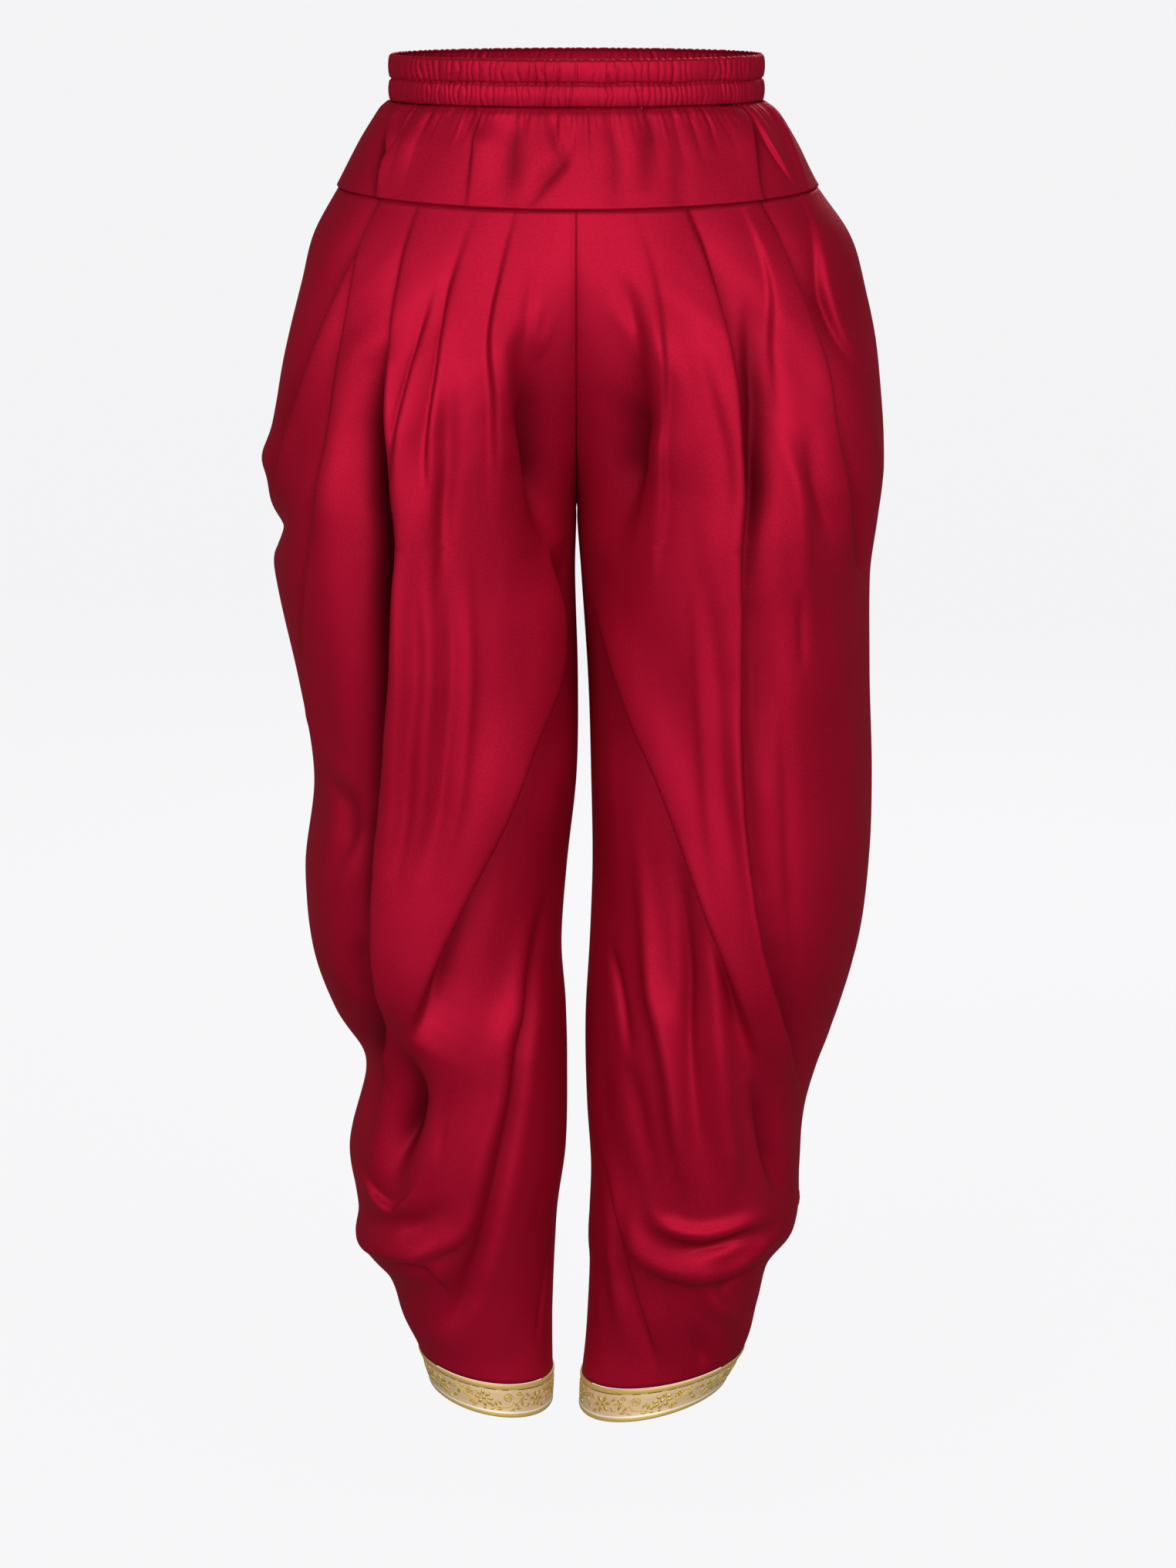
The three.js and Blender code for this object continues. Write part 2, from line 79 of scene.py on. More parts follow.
# Pleats with a crisp edge: which side of the path drops away (1 towards larger degrees, or up where
# the path runs that way), how far the edge stands out, how far the cloth rises to it and drops behind
# it, how far it leans over, how deep and wide the valley beside it is, and its path as (degrees, z)
rightPleats = [
    (1, 5, 14, 3, 2, 18, 17, [(142, -50), (142, -100), (144, -148), (146, -190), (150, -235),
         (157, -275), (170, -302)]),
    (1, 4, 20, 3, 2.5, 5, 12, [(145, -50), (143, -85), (137, -143), (132, -200), (129, -260),
         (133, -320), (146, -389), (158, -440), (152, -476), (138, -500)]),
    (1, 4, 14, 3, 2, 4, 8, [(131, -50), (128, -90), (121, -151), (112, -202), (104, -248), (98, -300)]),
    (1, 8, 34, 3, 2.5, 27, 25, [(118, -165), (110, -215), (102, -260), (98, -300), (99, -338),
         (104, -398), (115, -494), (114, -555), (115, -636), (121, -666), (140, -704), (150, -752)]),
    (1, 4, 9, 3, 2, 8, 6, [(113, -130), (109, -166), (103, -216), (100, -248), (97, -292)]),
    (1, 4.5, 13, 3, 2, 6, 7, [(114, -70), (109, -128), (104, -160), (97, -200), (90, -253),
         (86, -285)]),
    (1, 4, 12, 3, 2, 4, 8, [(104, -50), (103, -85), (98, -123), (89, -172), (76, -222), (67, -262),
         (58, -322)]),
    (-1, 9, 32, 10, 4, 0, 10, [(90, -130), (83, -175), (71, -218), (58, -256), (46, -293), (34, -335)]),
    (-1, 10, 34, 3.5, 3, 15, 26, [(34, -318), (31, -360), (34, -408), (52, -462), (73, -549),
         (94, -628), (108, -668)]),
    (1, 4, 10, 4, 2, 4, 9, [(105, -754), (112, -780), (120, -794), (128, -800), (138, -794),
         (149, -782), (170, -768)]),
    (-1, 5, 12, 3, 3, 4, 8, [(112, -884), (103, -862), (102, -846), (110, -837), (122, -837),
         (138, -844)]),
    (1, 11, 32, 5, 8, 12, 16, [(214, -50), (228, -170), (246, -280), (252, -400), (240, -520),
         (234, -620), (214, -735)]),
    (1, 6, 16, 4, 5, 4, 12, [(236, -50), (246, -150), (258, -250), (268, -340)]),
    (-1, 11, 30, 5, 8, 9, 16, [(262, -50), (270, -150), (288, -230), (316, -310), (324, -400),
         (304, -480), (282, -580), (262, -660), (238, -750)]),
]
leftPleats = [
    (1, 6, 20, 3, 2, 18, 16, [(139, -50), (136, -95), (134, -140), (134, -193), (133, -240),
         (137, -290), (145, -325), (162, -352)]),
    (1, 7, 24, 3, 2.5, 13, 22, [(118, -50), (112, -119), (102, -201), (96, -248), (93, -306),
         (94, -359), (92, -450), (94, -530), (102, -602), (121, -669), (154, -720)]),
    (1, 3, 9, 3, 1, 2, 6, [(105, -50), (99, -114), (87, -178), (79, -212), (68, -260), (62, -308),
         (59, -350)]),
    (-1, 9, 26, 9, 2, 0, 10, [(92, -112), (89, -142), (85, -170), (78, -201), (70, -233), (59, -266),
         (47, -340)]),
    (-1, 4, 14, 3, 2, 3, 7, [(134, -50), (129, -100), (125, -140), (118, -182), (112, -228)]),
    (-1, 2.5, 12, 3, 1.5, 8, 15, [(158, -50), (154, -89), (148, -117), (145, -147), (148, -182),
         (162, -212)]),
    (-1, 8, 22, 3.5, 3, 14, 26, [(14, -352), (34, -387), (48, -440), (60, -482), (72, -537), (85, -594),
         (100, -648), (116, -696)]),
    (-1, 5, 14, 3.5, 2, 6, 9, [(20, -752), (34, -780), (46, -813), (58, -849), (75, -897), (88, -930)]),
    (1, 12, 32, 5, 8, 12, 16, [(222, -50), (224, -170), (232, -270), (244, -390), (238, -500),
         (222, -620), (192, -718)]),
    (1, 11, 30, 4.5, 8, 8, 14, [(248, -50), (254, -160), (266, -270), (270, -390), (268, -500),
         (262, -590)]),
    (-1, 10, 26, 7, 5, 8, 14, [(272, -50), (280, -150), (296, -230), (312, -310), (318, -390)]),
    (-1, 10, 28, 6, 6, 9, 14, [(340, -380), (312, -450), (290, -545), (268, -635), (244, -712),
         (212, -790), (186, -816)]),
]

# Soft folds: how far each stands out (in, below 0), its spread towards smaller and towards larger
# degrees, how far it sags over that way, and its path. Where a path runs across the leg towards
# larger degrees, spread and sag are below and above it.
rightFolds = [
    (-7, 8, 14, 0, [(112, -185), (107, -233), (102, -280), (103, -338), (109, -393), (122, -500),
         (121, -555), (126, -605)]),
    (-19, 20, 20, 0, [(80, -120), (65, -203), (54, -236), (43, -281),
         (33, -328)]),   # hollow by the seam
    (-6, 6, 6, 0, [(102, -165), (91, -211), (82, -264), (81, -311), (84, -368)]),
    (-4, 3, 3.5, 0, [(93, -110), (87, -139), (77, -176)]),
    (4.5, 4, 4, 0, [(85, -140), (78, -165), (70, -186)]),
    (4.5, 4.5, 4.5, 0, [(79, -138), (74, -165), (70, -186)]),
    (2.6, 5, 6, 0, [(96, -310), (100, -400), (108, -485), (109, -570)]),
    (2.6, 5, 7, 0, [(85, -306), (88, -387), (96, -475), (100, -560)]),
    (2.4, 5, 7, 0, [(72, -307), (73, -388), (81, -475), (88, -550)]),
    (-2.4, 4, 6, 0, [(90, -300), (93, -390), (102, -480), (104, -570)]),
    (-2.4, 4, 6, 0, [(78, -300), (80, -388), (88, -475), (94, -555)]),
    (2.5, 12, 12, 0, [(128, -160), (124, -280), (128, -390), (138, -470)]),
    (-6, 9, 11, 0, [(160, -478), (142, -492), (137, -510), (139, -538), (160, -568)]),
    (4, 7, 7, 0, [(115, -555), (120, -602), (127, -636)]),
    (-3, 6, 6, 0, [(127, -595), (133, -618), (136, -645)]),
    (9, 15, 12, 0, [(38, -560), (51, -637), (63, -674), (74, -730), (81, -788), (92, -832)]),
    (-11, 8, 10, 0, [(30, -560), (42, -646), (57, -699), (66, -770), (76, -835), (95, -868),
         (121, -906)]),
    (-23, 15, 14, 0, [(104, -630), (118, -685), (123, -725), (125, -758), (130, -800)]),   # cowl
    (-6, 8, 8, 0, [(88, -785), (106, -804), (123, -811), (150, -815)]),
    (7, 9, 10, -5, [(80, -785), (90, -811), (107, -822), (129, -830), (160, -833), (206, -828)]),
    (-9, 12, 13, 0, [(146, -296), (166, -312), (182, -318), (208, -312)]),   # outer side
    (5, 12, 14, 0, [(156, -258), (182, -266), (204, -260)]),
    (-2.5, 4, 4, 0, [(94, -695), (100, -727), (100, -760)]),
    (-3, 5, 3, 0, [(18, -820), (25, -860), (32, -888), (40, -918)]),
    (-12, 8, 9, 0, [(240, -130), (250, -200), (266, -300), (272, -400), (258, -520)]),
    (6, 14, 14, 0, [(335, -540), (312, -640), (292, -740), (280, -810)]),
    (-9, 10, 12, 0, [(336, -600), (310, -690), (288, -790), (268, -870)]),
    (-11, 9, 9, 0, [(182, -772), (210, -796), (240, -800), (266, -772)]),
    (9, 9, 11, -7, [(196, -826), (226, -832), (262, -820), (284, -786)]),
    (-5, 6, 7, 0, [(200, -852), (232, -856), (262, -842)]),
    (2.5, 9, 9, 0, [(290, -300), (296, -400), (290, -500)]),
    (2.5, 9, 9, 0, [(262, -420), (258, -520), (250, -620)]),
]
leftFolds = [
    (-19, 21, 15, 0, [(83, -150), (71, -212), (60, -242), (48, -279),
         (36, -330)]),   # hollow by the seam
    (-9, 6, 7, 0, [(91, -112), (88, -137), (84, -162), (79, -190)]),
    (-3.5, 8, 5, 0, [(101, -140), (93, -200), (89, -255), (84, -312)]),
    (-11, 7, 12, 0, [(122, -130), (114, -171), (107, -215), (100, -258), (97, -300), (98, -350)]),
    (-5, 9, 14, 0, [(99, -310), (103, -387), (103, -436), (101, -490)]),
    (4, 6, 9, 0, [(112, -220), (113, -260), (117, -310), (126, -390)]),
    (-4, 6, 7, 0, [(122, -225), (121, -266), (127, -299), (138, -340)]),
    (-2, 4, 4, 0, [(119, -340), (120, -405)]),
    (-2.6, 5, 7, 0, [(82, -330), (84, -410), (86, -490), (94, -580)]),
    (2.2, 5, 6, 0, [(76, -330), (77, -410), (79, -490), (86, -580)]),
    (-2.6, 5, 7, 0, [(110, -400), (111, -480), (114, -560), (124, -640)]),
    (6, 9, 8, 0, [(88, -405), (90, -495), (97, -570), (116, -665), (132, -703)]),
    (-11, 9, 10, 0, [(98, -640), (112, -687), (126, -729), (134, -758), (142, -782), (154, -810)]),
    (8, 8, 8, 0, [(42, -500), (56, -618), (66, -661), (74, -701), (80, -741), (87, -792)]),
    (-7, 6, 6, 0, [(62, -530), (72, -614), (77, -660), (92, -752)]),
    (8, 11, 10, 0, [(70, -510), (84, -613), (99, -712), (106, -754), (108, -800)]),
    (-5, 4, 6, 0, [(30, -605), (40, -641), (52, -690)]),
    (-4, 9, 9, 0, [(46, -680), (56, -722), (69, -788)]),
    (7, 7, 7, 0, [(58, -782), (68, -804), (79, -811), (91, -814), (105, -812), (125, -808),
         (160, -820)]),
    (-10, 6, 6, 0, [(64, -810), (81, -823), (94, -826), (108, -822), (120, -818), (150, -812)]),
    (8, 9, 7, -4, [(54, -780), (57, -811), (64, -828), (75, -838), (92, -845), (107, -846), (118, -842),
         (141, -826), (180, -838)]),
    (-4, 5, 6, 0, [(110, -861), (125, -857), (142, -848)]),
    (7, 6, 7, 0, [(94, -843), (107, -863), (116, -877), (131, -890), (155, -907)]),
    (-5, 5, 6, 0, [(101, -886), (114, -916), (134, -940)]),
    (4, 7, 7, 0, [(28, -785), (40, -842), (48, -877), (58, -918)]),
    (-11, 8, 9, 0, [(210, -110), (214, -190), (210, -270), (186, -342)]),
    (7, 13, 13, 0, [(330, -520), (306, -640), (286, -750)]),
    (-10, 7, 8, 0, [(188, -806), (232, -826), (268, -826), (300, -808)]),
    (10, 8, 10, -7, [(182, -816), (224, -838), (262, -840), (300, -820)]),
    (-7, 6, 9, 0, [(344, -770), (318, -830), (290, -890), (268, -932)]),
    (2.5, 9, 9, 0, [(256, -400), (252, -500), (240, -600)]),
    (2.5, 9, 9, 0, [(292, -330), (294, -430), (286, -520)]),
]
rightYokePleats = [
    (1, 4, 14, 3, 3, 4, 7, [(149, 5), (145, -35), (146, -54), (144, -95)]),
    (1, 2.5, 6, 3, 2, 4, 8, [(163, 0), (154, -30), (147, -58), (143, -85)]),
    (1, 2.5, 14, 3, 2, 1.5, 8, [(118, 5), (118, -33), (117, -48), (115, -100)]),
    (1, 3.5, 12, 3, 3, 3, 7, [(222, 5), (226, -40), (232, -100)]),
]
leftYokePleats = [
    (1, 4.5, 16, 3, 3, 4.5, 7, [(148, 5), (146, -23), (142, -45), (137, -95)]),
    (-1, 2, 8, 3, 1.5, 2, 5, [(153, -15), (151, -43), (155, -75)]),
    (1, 3.5, 12, 3, 3, 3, 7, [(218, 5), (224, -40), (230, -100)]),
]
rightYokeFolds = [
    (-3, 4, 4, 0, [(127, 5), (122, -20), (117, -38)]),
    (-3.2, 8, 8, 0, [(112, 5), (107, -46), (105, -95)]),
    (-1.6, 3, 3, 0, [(99, 0), (96, -32), (92, -60)]),
    (-2.6, 4, 7, 0, [(90, -22), (93, -50), (98, -68), (104, -92)]),
    (-3, 9, 8, 0, [(250, -5), (252, -40), (253, -90)]),
]
leftYokeFolds = [
    (-2.5, 6, 6, 0, [(112, 0), (109, -42), (106, -75)]),
    (-2, 6, 6, 0, [(100, 0), (100, -51), (98, -85)]),
    (-1.5, 7, 7, 0, [(120, -20), (116, -60), (113, -100)]),
    (2.5, 7, 7, 0, [(172, 0), (165, -42), (160, -85)]),
    (-3, 8, 9, 0, [(244, -5), (246, -40), (248, -90)]),
]


def smooth(x):
    x = np.clip(x, 0, 1)
    return x * x * (3 - 2 * x)


def splinePoints(path, steps=24):
    # a smooth run of points through a fold's path
    path = np.array(path, float)
    places = np.linspace(0, len(path) - 1, steps + 1)
    at = np.minimum(places.astype(int), len(path) - 2)
    t = (places - at)[:, None]
    p0, p1, p2, p3 = (path[np.clip(at + k, 0, len(path) - 1)] for k in (-1, 0, 1, 2))
    return 0.5 * (2 * p1 + (p2 - p0) * t + (2 * p0 - 5 * p1 + 4 * p2 - p3) * t ** 2
                  + (3 * p1 - p0 - 3 * p2 + p3) * t ** 3)


pleatValley = {"offset": 2.5, "inner": 3, "power": 1.2}
# over how many mm a fold dies out at its ends, at most what share of it, and how wide it is worked out
foldEnds = {"perDegree": 2.2, "fade": 85, "most": 0.45, "reach": 2.6}


def foldTable(folds, pleats=()):
    # a pleat's valley lies just behind its edge, under the cloth that leans over it
    table = []

    def add(path, **shape):
        points = splinePoints(path)
        steps = np.diff(points, axis=0) * (foldEnds["perDegree"], 1)
        share = min(foldEnds["most"], foldEnds["fade"] / np.hypot(steps[:, 0], steps[:, 1]).sum())
        table.append(dict(shape, points=points, fade=share))

    for depth, before, after, lean, path in folds:
        add(path, depth=depth, side=1, before=before, after=after, lean=lean, shift=0, power=2)
    for side, depth, soft, sharp, lean, valley, width, path in pleats:
        add(path, depth=depth, side=side, before=soft, after=sharp, lean=lean, shift=-lean, power=2)
        if valley:
            add(path, depth=-valley, side=side, before=pleatValley["inner"], after=width, lean=0,
                shift=pleatValley["offset"], power=pleatValley["power"])
    return table


rightLeg = {"name": "right", "side": -1, "sections": np.array(rightSections, float),
            "folds": foldTable(rightFolds, rightPleats),
            "yokeFolds": foldTable(rightYokeFolds, rightYokePleats),
            "cuffZ": -932, "cuffInseam": 8, "cuffFront": 5, "seed": 3}
leftLeg = {"name": "left", "side": 1, "sections": np.array(leftSections, float),
           "folds": foldTable(leftFolds, leftPleats),
           "yokeFolds": foldTable(leftYokeFolds, leftYokePleats),
           "cuffZ": -934, "cuffInseam": 10, "cuffFront": 6, "seed": 11}


def sectionAt(leg, z):
    # the leg's section at a height, smoothly between the rows of its table
    rows = leg["sections"]
    z = np.asarray(z, float)
    fall, last = -rows[:, 0], len(rows) - 1
    at = np.clip(np.searchsorted(fall, -z, side="right") - 1, 0, last - 1)
    before, after = np.maximum(at - 1, 0), np.minimum(at + 2, last)
    gap = (fall[at + 1] - fall[at])[..., None]
    t = np.clip((-z - fall[at])[..., None] / gap, 0, 1)
    a, b = rows[at, 1:], rows[at + 1, 1:]
    slopeA = (b - rows[before, 1:]) / (fall[at + 1] - fall[before])[..., None] * gap
    slopeB = (rows[after, 1:] - a) / (fall[after] - fall[at])[..., None] * gap
    row = ((2 * t ** 3 - 3 * t ** 2 + 1) * a + (t ** 3 - 2 * t ** 2 + t) * slopeA
           + (3 * t ** 2 - 2 * t ** 3) * b + (t ** 3 - t ** 2) * slopeB)
    outer, inner, front, back = np.moveaxis(row, -1, 0)
    turned = (cut["yokeSide"] - cut["yokeDrop"] / 2 - z) / (cut["yokeSide"] - cut["crotch"])
    turned = np.clip(turned, 0, 1)
    below = z < cut["crotch"]
    # above the crotch the section starts at the middle seam instead of the inseam
    start = np.where(below, 0, 90 * (1 - turned ** cut["crotchCurve"]))
    half = np.where(below, (outer - inner) / 2, outer / (1 + np.cos(np.radians(start))))
    return {"start": start, "half": half, "centre": outer - half, "front": front, "back": back}


def skin(leg, degrees, z, out=0):
    # a place on a leg's plain section, moved out along its level normal
    part = sectionAt(leg, z)
    across, along = np.cos(np.radians(degrees)), np.sin(np.radians(degrees))
    depth = np.where(along > 0, part["front"], part["back"])
    nx, ny = -across / part["half"], -along / depth
    size = np.hypot(nx, ny)
    x = part["centre"] - part["half"] * across + nx / size * out
    y = -depth * along + ny / size * out
    return np.stack([leg["side"] * x, y, z + 0 * x], axis=-1)


leanSpread = 14   # how much of the cloth behind a pleat's edge leans with it


def foldField(folds, degrees, z, roundness):
    # height of the cloth and how far it leans round the leg and up, all folds together
    height, around, rise = np.zeros_like(z), np.zeros_like(z), np.zeros_like(z)
    for fold in folds:
        pts = fold["points"]
        reach = foldEnds["reach"] * max(fold["before"], fold["after"]) + abs(fold["shift"])
        wide = reach / roundness.min()
        near = ((z < pts[:, 1].max() + reach) & (z > pts[:, 1].min() - reach)
                & (degrees < pts[:, 0].max() + wide) & (degrees > pts[:, 0].min() - wide))
        if not near.any():
            continue
        d, h, k = degrees[near][:, None], z[near][:, None], roundness[near][:, None]
        px, pz = pts[:-1, 0][None], pts[:-1, 1][None]
        sx, sz = (pts[1:, 0] - pts[:-1, 0])[None] * k, (pts[1:, 1] - pts[:-1, 1])[None]
        ox, oz = (d - px) * k, h - pz
        t = np.clip((ox * sx + oz * sz) / (sx ** 2 + sz ** 2), 0, 1)
        far = np.hypot(ox - t * sx, oz - t * sz)
        best = far.argmin(1)
        row = np.arange(len(best))
        stepZ = np.broadcast_to(sz, far.shape)[row, best]
        cross = sx[row, best] * oz[row, best] - stepZ * ox[row, best]
        off = fold["side"] * np.sign(cross) * far[row, best] - fold["shift"]
        part = t[row, best]
        along = (best + part) / (len(pts) - 1)
        fade = smooth(along / fold["fade"]) * smooth((1 - along) / fold["fade"])
        spread = np.abs(off / np.where(off < 0, fold["before"], fold["after"]))
        height[near] += fold["depth"] * fade * np.exp(-spread ** np.where(off < 0, 2, fold["power"]))
        if fold["lean"]:
            way = np.gradient(pts, axis=0)
            way = way[best] * (1 - part[:, None]) + way[best + 1] * part[:, None]
            wayX, wayZ = way[:, 0] * k[:, 0], way[:, 1]
            soft = min(fold["before"], leanSpread) if fold["shift"] else fold["before"]
            sag = fold["lean"] * fade * np.exp(-(off / np.where(off < 0, soft, fold["after"])) ** 2)
            sag = sag * fold["side"] / np.hypot(wayX, wayZ)
            around[near] -= sag * wayZ
            rise[near] += sag * wayX
    return height, around, rise


hillCount = 97   # how many hills the soft noise has each way before it repeats


def softNoise(x, y, seed):
    # smooth random hills, one per unit
    hills = np.random.default_rng(seed).uniform(-1, 1, (hillCount, hillCount))
    ix, iy = np.floor(x).astype(int), np.floor(y).astype(int)
    tx, ty = smooth(x - ix), smooth(y - iy)

    def corner(a, b):
        return hills[(ix + a) % hillCount, (iy + b) % hillCount]

    low = corner(0, 0) * (1 - tx) + corner(1, 0) * tx
    high = corner(0, 1) * (1 - tx) + corner(1, 1) * tx
    return low * (1 - ty) + high * ty


def yokeSeamZ(degrees):
    return cut["yokeSide"] - cut["yokeDrop"] * np.abs(np.sin(np.radians(degrees))) ** cut["yokeCurve"]


def cuffZ(leg, degrees):
    turn = np.radians(degrees)
    return leg["cuffZ"] - leg["cuffInseam"] * np.cos(turn) - leg["cuffFront"] * np.sin(turn)


# Shade is painted into the cloth's colour towards the bottom of a fold: from which depth, and over how
# many mm more
paintedFoldShade = {"legs": (1.5, 29), "yokes": (0.6, 4.5), "waistband": (0.4, 3.2)}


def paintedShadeMix(height, piece):
    # 1 where no shade is painted, falling to 0, full painted shade, at the bottom of a deep fold
    start, deep = paintedFoldShade[piece]
    return 1 - smooth((-height - start) / deep)


ripple = {"sizes": [(26, 170, 0.9), (11, 80, 0.3)], "slant": 0.12}   # width, length and depth of each
seamRoll = {"depth": 0.9, "width": 2.6, "straightDegrees": 60, "straightRise": 8}


def legSurface(leg, degrees, z):
    # places on the folded leg, and how much shade is painted into the colour there
    part = sectionAt(leg, z)
    roundness = np.radians((part["half"] + part["front"]) / 2)
    fromSeam = np.minimum(degrees - part["start"], 360 - part["start"] - degrees)
    fromTop = smooth((yokeSeamZ(degrees) - z) / cut["calmTop"])
    fromCuff = smooth((z - cuffZ(leg, degrees)) / cut["calmBottom"])
    share = cut["calmTopShare"]
    calm = smooth(fromSeam / cut["calmDegrees"]) * fromCuff * (share + (1 - share) * fromTop)
    height, around, rise = foldField(leg["folds"], degrees, z, roundness)
    flat = degrees * roundness + z * ripple["slant"]
    for size, (wide, tall, amount) in enumerate(ripple["sizes"]):
        height = height + amount * softNoise(flat / wide, z / tall, leg["seed"] + size)
    fromEdge = np.minimum(fromSeam, np.abs(degrees - 180)) * roundness
    roll = seamRoll["depth"] * np.exp(-(fromEdge / seamRoll["width"]) ** 2)
    # above the crotch the middle seam rolls straight in, so that the two legs stay closed there
    straight = smooth((z - cut["crotch"]) / seamRoll["straightRise"])
    straight = np.where(fromSeam < seamRoll["straightDegrees"], straight, 0)
    out = calm * height - roll * (1 - straight)
    places = skin(leg, degrees + calm * around / roundness, z + calm * rise, out)
    places[..., 1] += roll * straight * np.sign(np.sin(np.radians(degrees)))
    return places, paintedShadeMix(calm * height, "legs")


def degreesAlong(leg, z, share, start, end, steps=48):
    # the turn at a share of the section's own length, and that length
    turns = np.repeat(start + (end - start) * np.linspace(0, 1, steps + 1)[None], len(z), axis=0)
    places = skin(leg, turns, np.repeat(z[:, None], steps + 1, axis=1))
    lengths = np.cumsum(np.linalg.norm(np.diff(places, axis=1), axis=2), axis=1)
    lengths = np.concatenate([np.zeros((len(z), 1)), lengths], axis=1)
    wanted = lengths[:, -1] * share
    at = np.clip((lengths < wanted[:, None]).sum(1) - 1, 0, steps - 1)
    row = np.arange(len(z))
    part = (wanted - lengths[row, at]) / (lengths[row, at + 1] - lengths[row, at])
    return start + (end - start) * (at + np.clip(part, 0, 1)) / steps, wanted


def addObject(name, bm):
    mesh = bpy.data.meshes.new(name)
    bm.to_mesh(mesh)
    bm.free()
    obj = bpy.data.objects.new(name, mesh)
    scene.collection.objects.link(obj)
    return obj


def wrapGrid(name, across, down, place, flip=False, closed=False):
    # a grid of cloth whose points are moved to their places, with a UV map in metres of cloth and
    # an attribute that says how much shade is painted into the colour at each point
    bm = bmesh.new()
    bmesh.ops.create_grid(bm, x_segments=across, y_segments=down, size=0.5)
    bm.verts.index_update()
    flat = np.array([v.co[:2] for v in bm.verts]) + 0.5
    places, uv, shade = place(flat[:, 0], flat[:, 1])
    # the painted shade, stored on each point for the satin's colour
    fold = bm.verts.layers.float.new("paintedShadeMask")
    for v, co, value in zip(bm.verts, places * mm, shade):
        v.co, v[fold] = co, value
    layer = bm.loops.layers.uv.new("cloth")
    uv = uv * mm
    for face in bm.faces:
        face.smooth = True
        for loop in face.loops:
            loop[layer].uv = uv[loop.vert.index]
    if closed:
        bmesh.ops.remove_doubles(bm, verts=bm.verts, dist=1e-6)
    if flip:
        bmesh.ops.reverse_faces(bm, faces=bm.faces)
    return addObject(name, bm)


def finishPiece(obj, thickness, material, node):
    # the shell of cloth grows inwards
    solid = obj.modifiers.new("Solidify", "SOLIDIFY")
    solid.thickness = thickness * mm
    solid.offset = -1
    obj.data.materials.append(material)
    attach(obj, "root")
    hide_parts(node)
    return obj


# Materials
def newMaterial(name):
    material = bpy.data.materials.new(name)
    material.use_nodes = True
    tree = material.node_tree
    return material, tree, tree.nodes["Principled BSDF"]


def addNode(tree, kind, **values):
    node = tree.nodes.new(kind)
    for key, value in values.items():
        if key in node.inputs:
            node.inputs[key].default_value = value
        else:
            setattr(node, key, value)
    return node


# the darkest colour is painted shade for the bottoms of folds; deep and bright are the cloth's own cloudy
# tone
satin = {"deep": (0.30, 0.0026, 0.018, 1), "bright": (0.37, 0.0040, 0.025, 1),
         "paintedFoldShade": (0.05, 0.0003, 0.0025, 1), "cloudScale": 9.0, "grainScale": 620.0, "grain": 0.8,
         "ramp": (0.3, 0.7), "weaveScale": (900, 2600, 1), "weave": (0.10, 0.0002),
         "values": {"Roughness": 0.56, "Metallic": 0.5, "Anisotropic": 0.45, "Specular IOR Level": 0.25,
                    "Specular Tint": (1, 0.25, 0.35, 1)}}


def setValues(shader, values):
    for name, value in values.items():
        shader.inputs[name].default_value = value


def addWeave(tree, shader, vector, scale, strength, distance):
    # a fine bump of threads
    weave = addNode(tree, "ShaderNodeTexNoise", Scale=scale, Detail=2.0)
    bump = addNode(tree, "ShaderNodeBump", Strength=strength, Distance=distance)
    tree.links.new(vector, weave.inputs["Vector"])
    tree.links.new(weave.outputs["Fac"], bump.inputs["Height"])
    tree.links.new(bump.outputs["Normal"], shader.inputs["Normal"])


def makeSatin():
    material, tree, shader = newMaterial("crimsonSatin")
    link = tree.links.new
    coords = addNode(tree, "ShaderNodeTexCoord")
    cloudy = addNode(tree, "ShaderNodeTexNoise", Scale=satin["cloudScale"], Detail=3.0)
    grain = addNode(tree, "ShaderNodeTexNoise", Scale=satin["grainScale"], Detail=2.0)
    blend = addNode(tree, "ShaderNodeMath", operation="MULTIPLY_ADD")
    blend.inputs[1].default_value = satin["grain"]
    ramp = addNode(tree, "ShaderNodeValToRGB")
    for stop, name, position in zip(ramp.color_ramp.elements, ("deep", "bright"), satin["ramp"]):
        stop.color, stop.position = satin[name], position + satin["grain"] / 2
    link(coords.outputs["Object"], cloudy.inputs["Vector"])
    link(coords.outputs["UV"], grain.inputs["Vector"])
    link(grain.outputs["Fac"], blend.inputs[0])
    link(cloudy.outputs["Fac"], blend.inputs[2])
    link(blend.outputs["Value"], ramp.inputs["Fac"])
    # painted shade: the base colour is mixed towards the darkest colour where the attribute says a fold
    # runs deep
    shade = addNode(tree, "ShaderNodeAttribute", attribute_name="paintedShadeMask")
    colour = addNode(tree, "ShaderNodeMixRGB", Color1=satin["paintedFoldShade"])
    link(shade.outputs["Fac"], colour.inputs["Fac"])
    link(ramp.outputs["Color"], colour.inputs["Color2"])
    link(colour.outputs["Color"], shader.inputs["Base Color"])
    stretch = addNode(tree, "ShaderNodeMapping")
    stretch.inputs["Scale"].default_value = satin["weaveScale"]
    link(coords.outputs["UV"], stretch.inputs["Vector"])
    addWeave(tree, shader, stretch.outputs["Vector"], 1.0, *satin["weave"])
    setValues(shader, satin["values"])
    warp = addNode(tree, "ShaderNodeTangent", direction_type="UV_MAP", uv_map="cloth")
    link(warp.outputs["Tangent"], shader.inputs["Tangent"])
    return material


# Legs
panel = {"cloth": 1.2, "frontAcross": 180, "frontDown": 250, "backAcross": 100, "backDown": 240,
         "fine": 420, "seamRounds": 8}


def gridPlace(places, uv, shade):
    # places for a grid's points, by row and column
    down, across = places.shape[0] - 1, places.shape[1] - 1

    def place(u, v):
        row, column = np.rint(v * down).astype(int), np.rint(u * across).astype(int)
        return places[row, column], uv[row, column], shade[row, column]

    return place


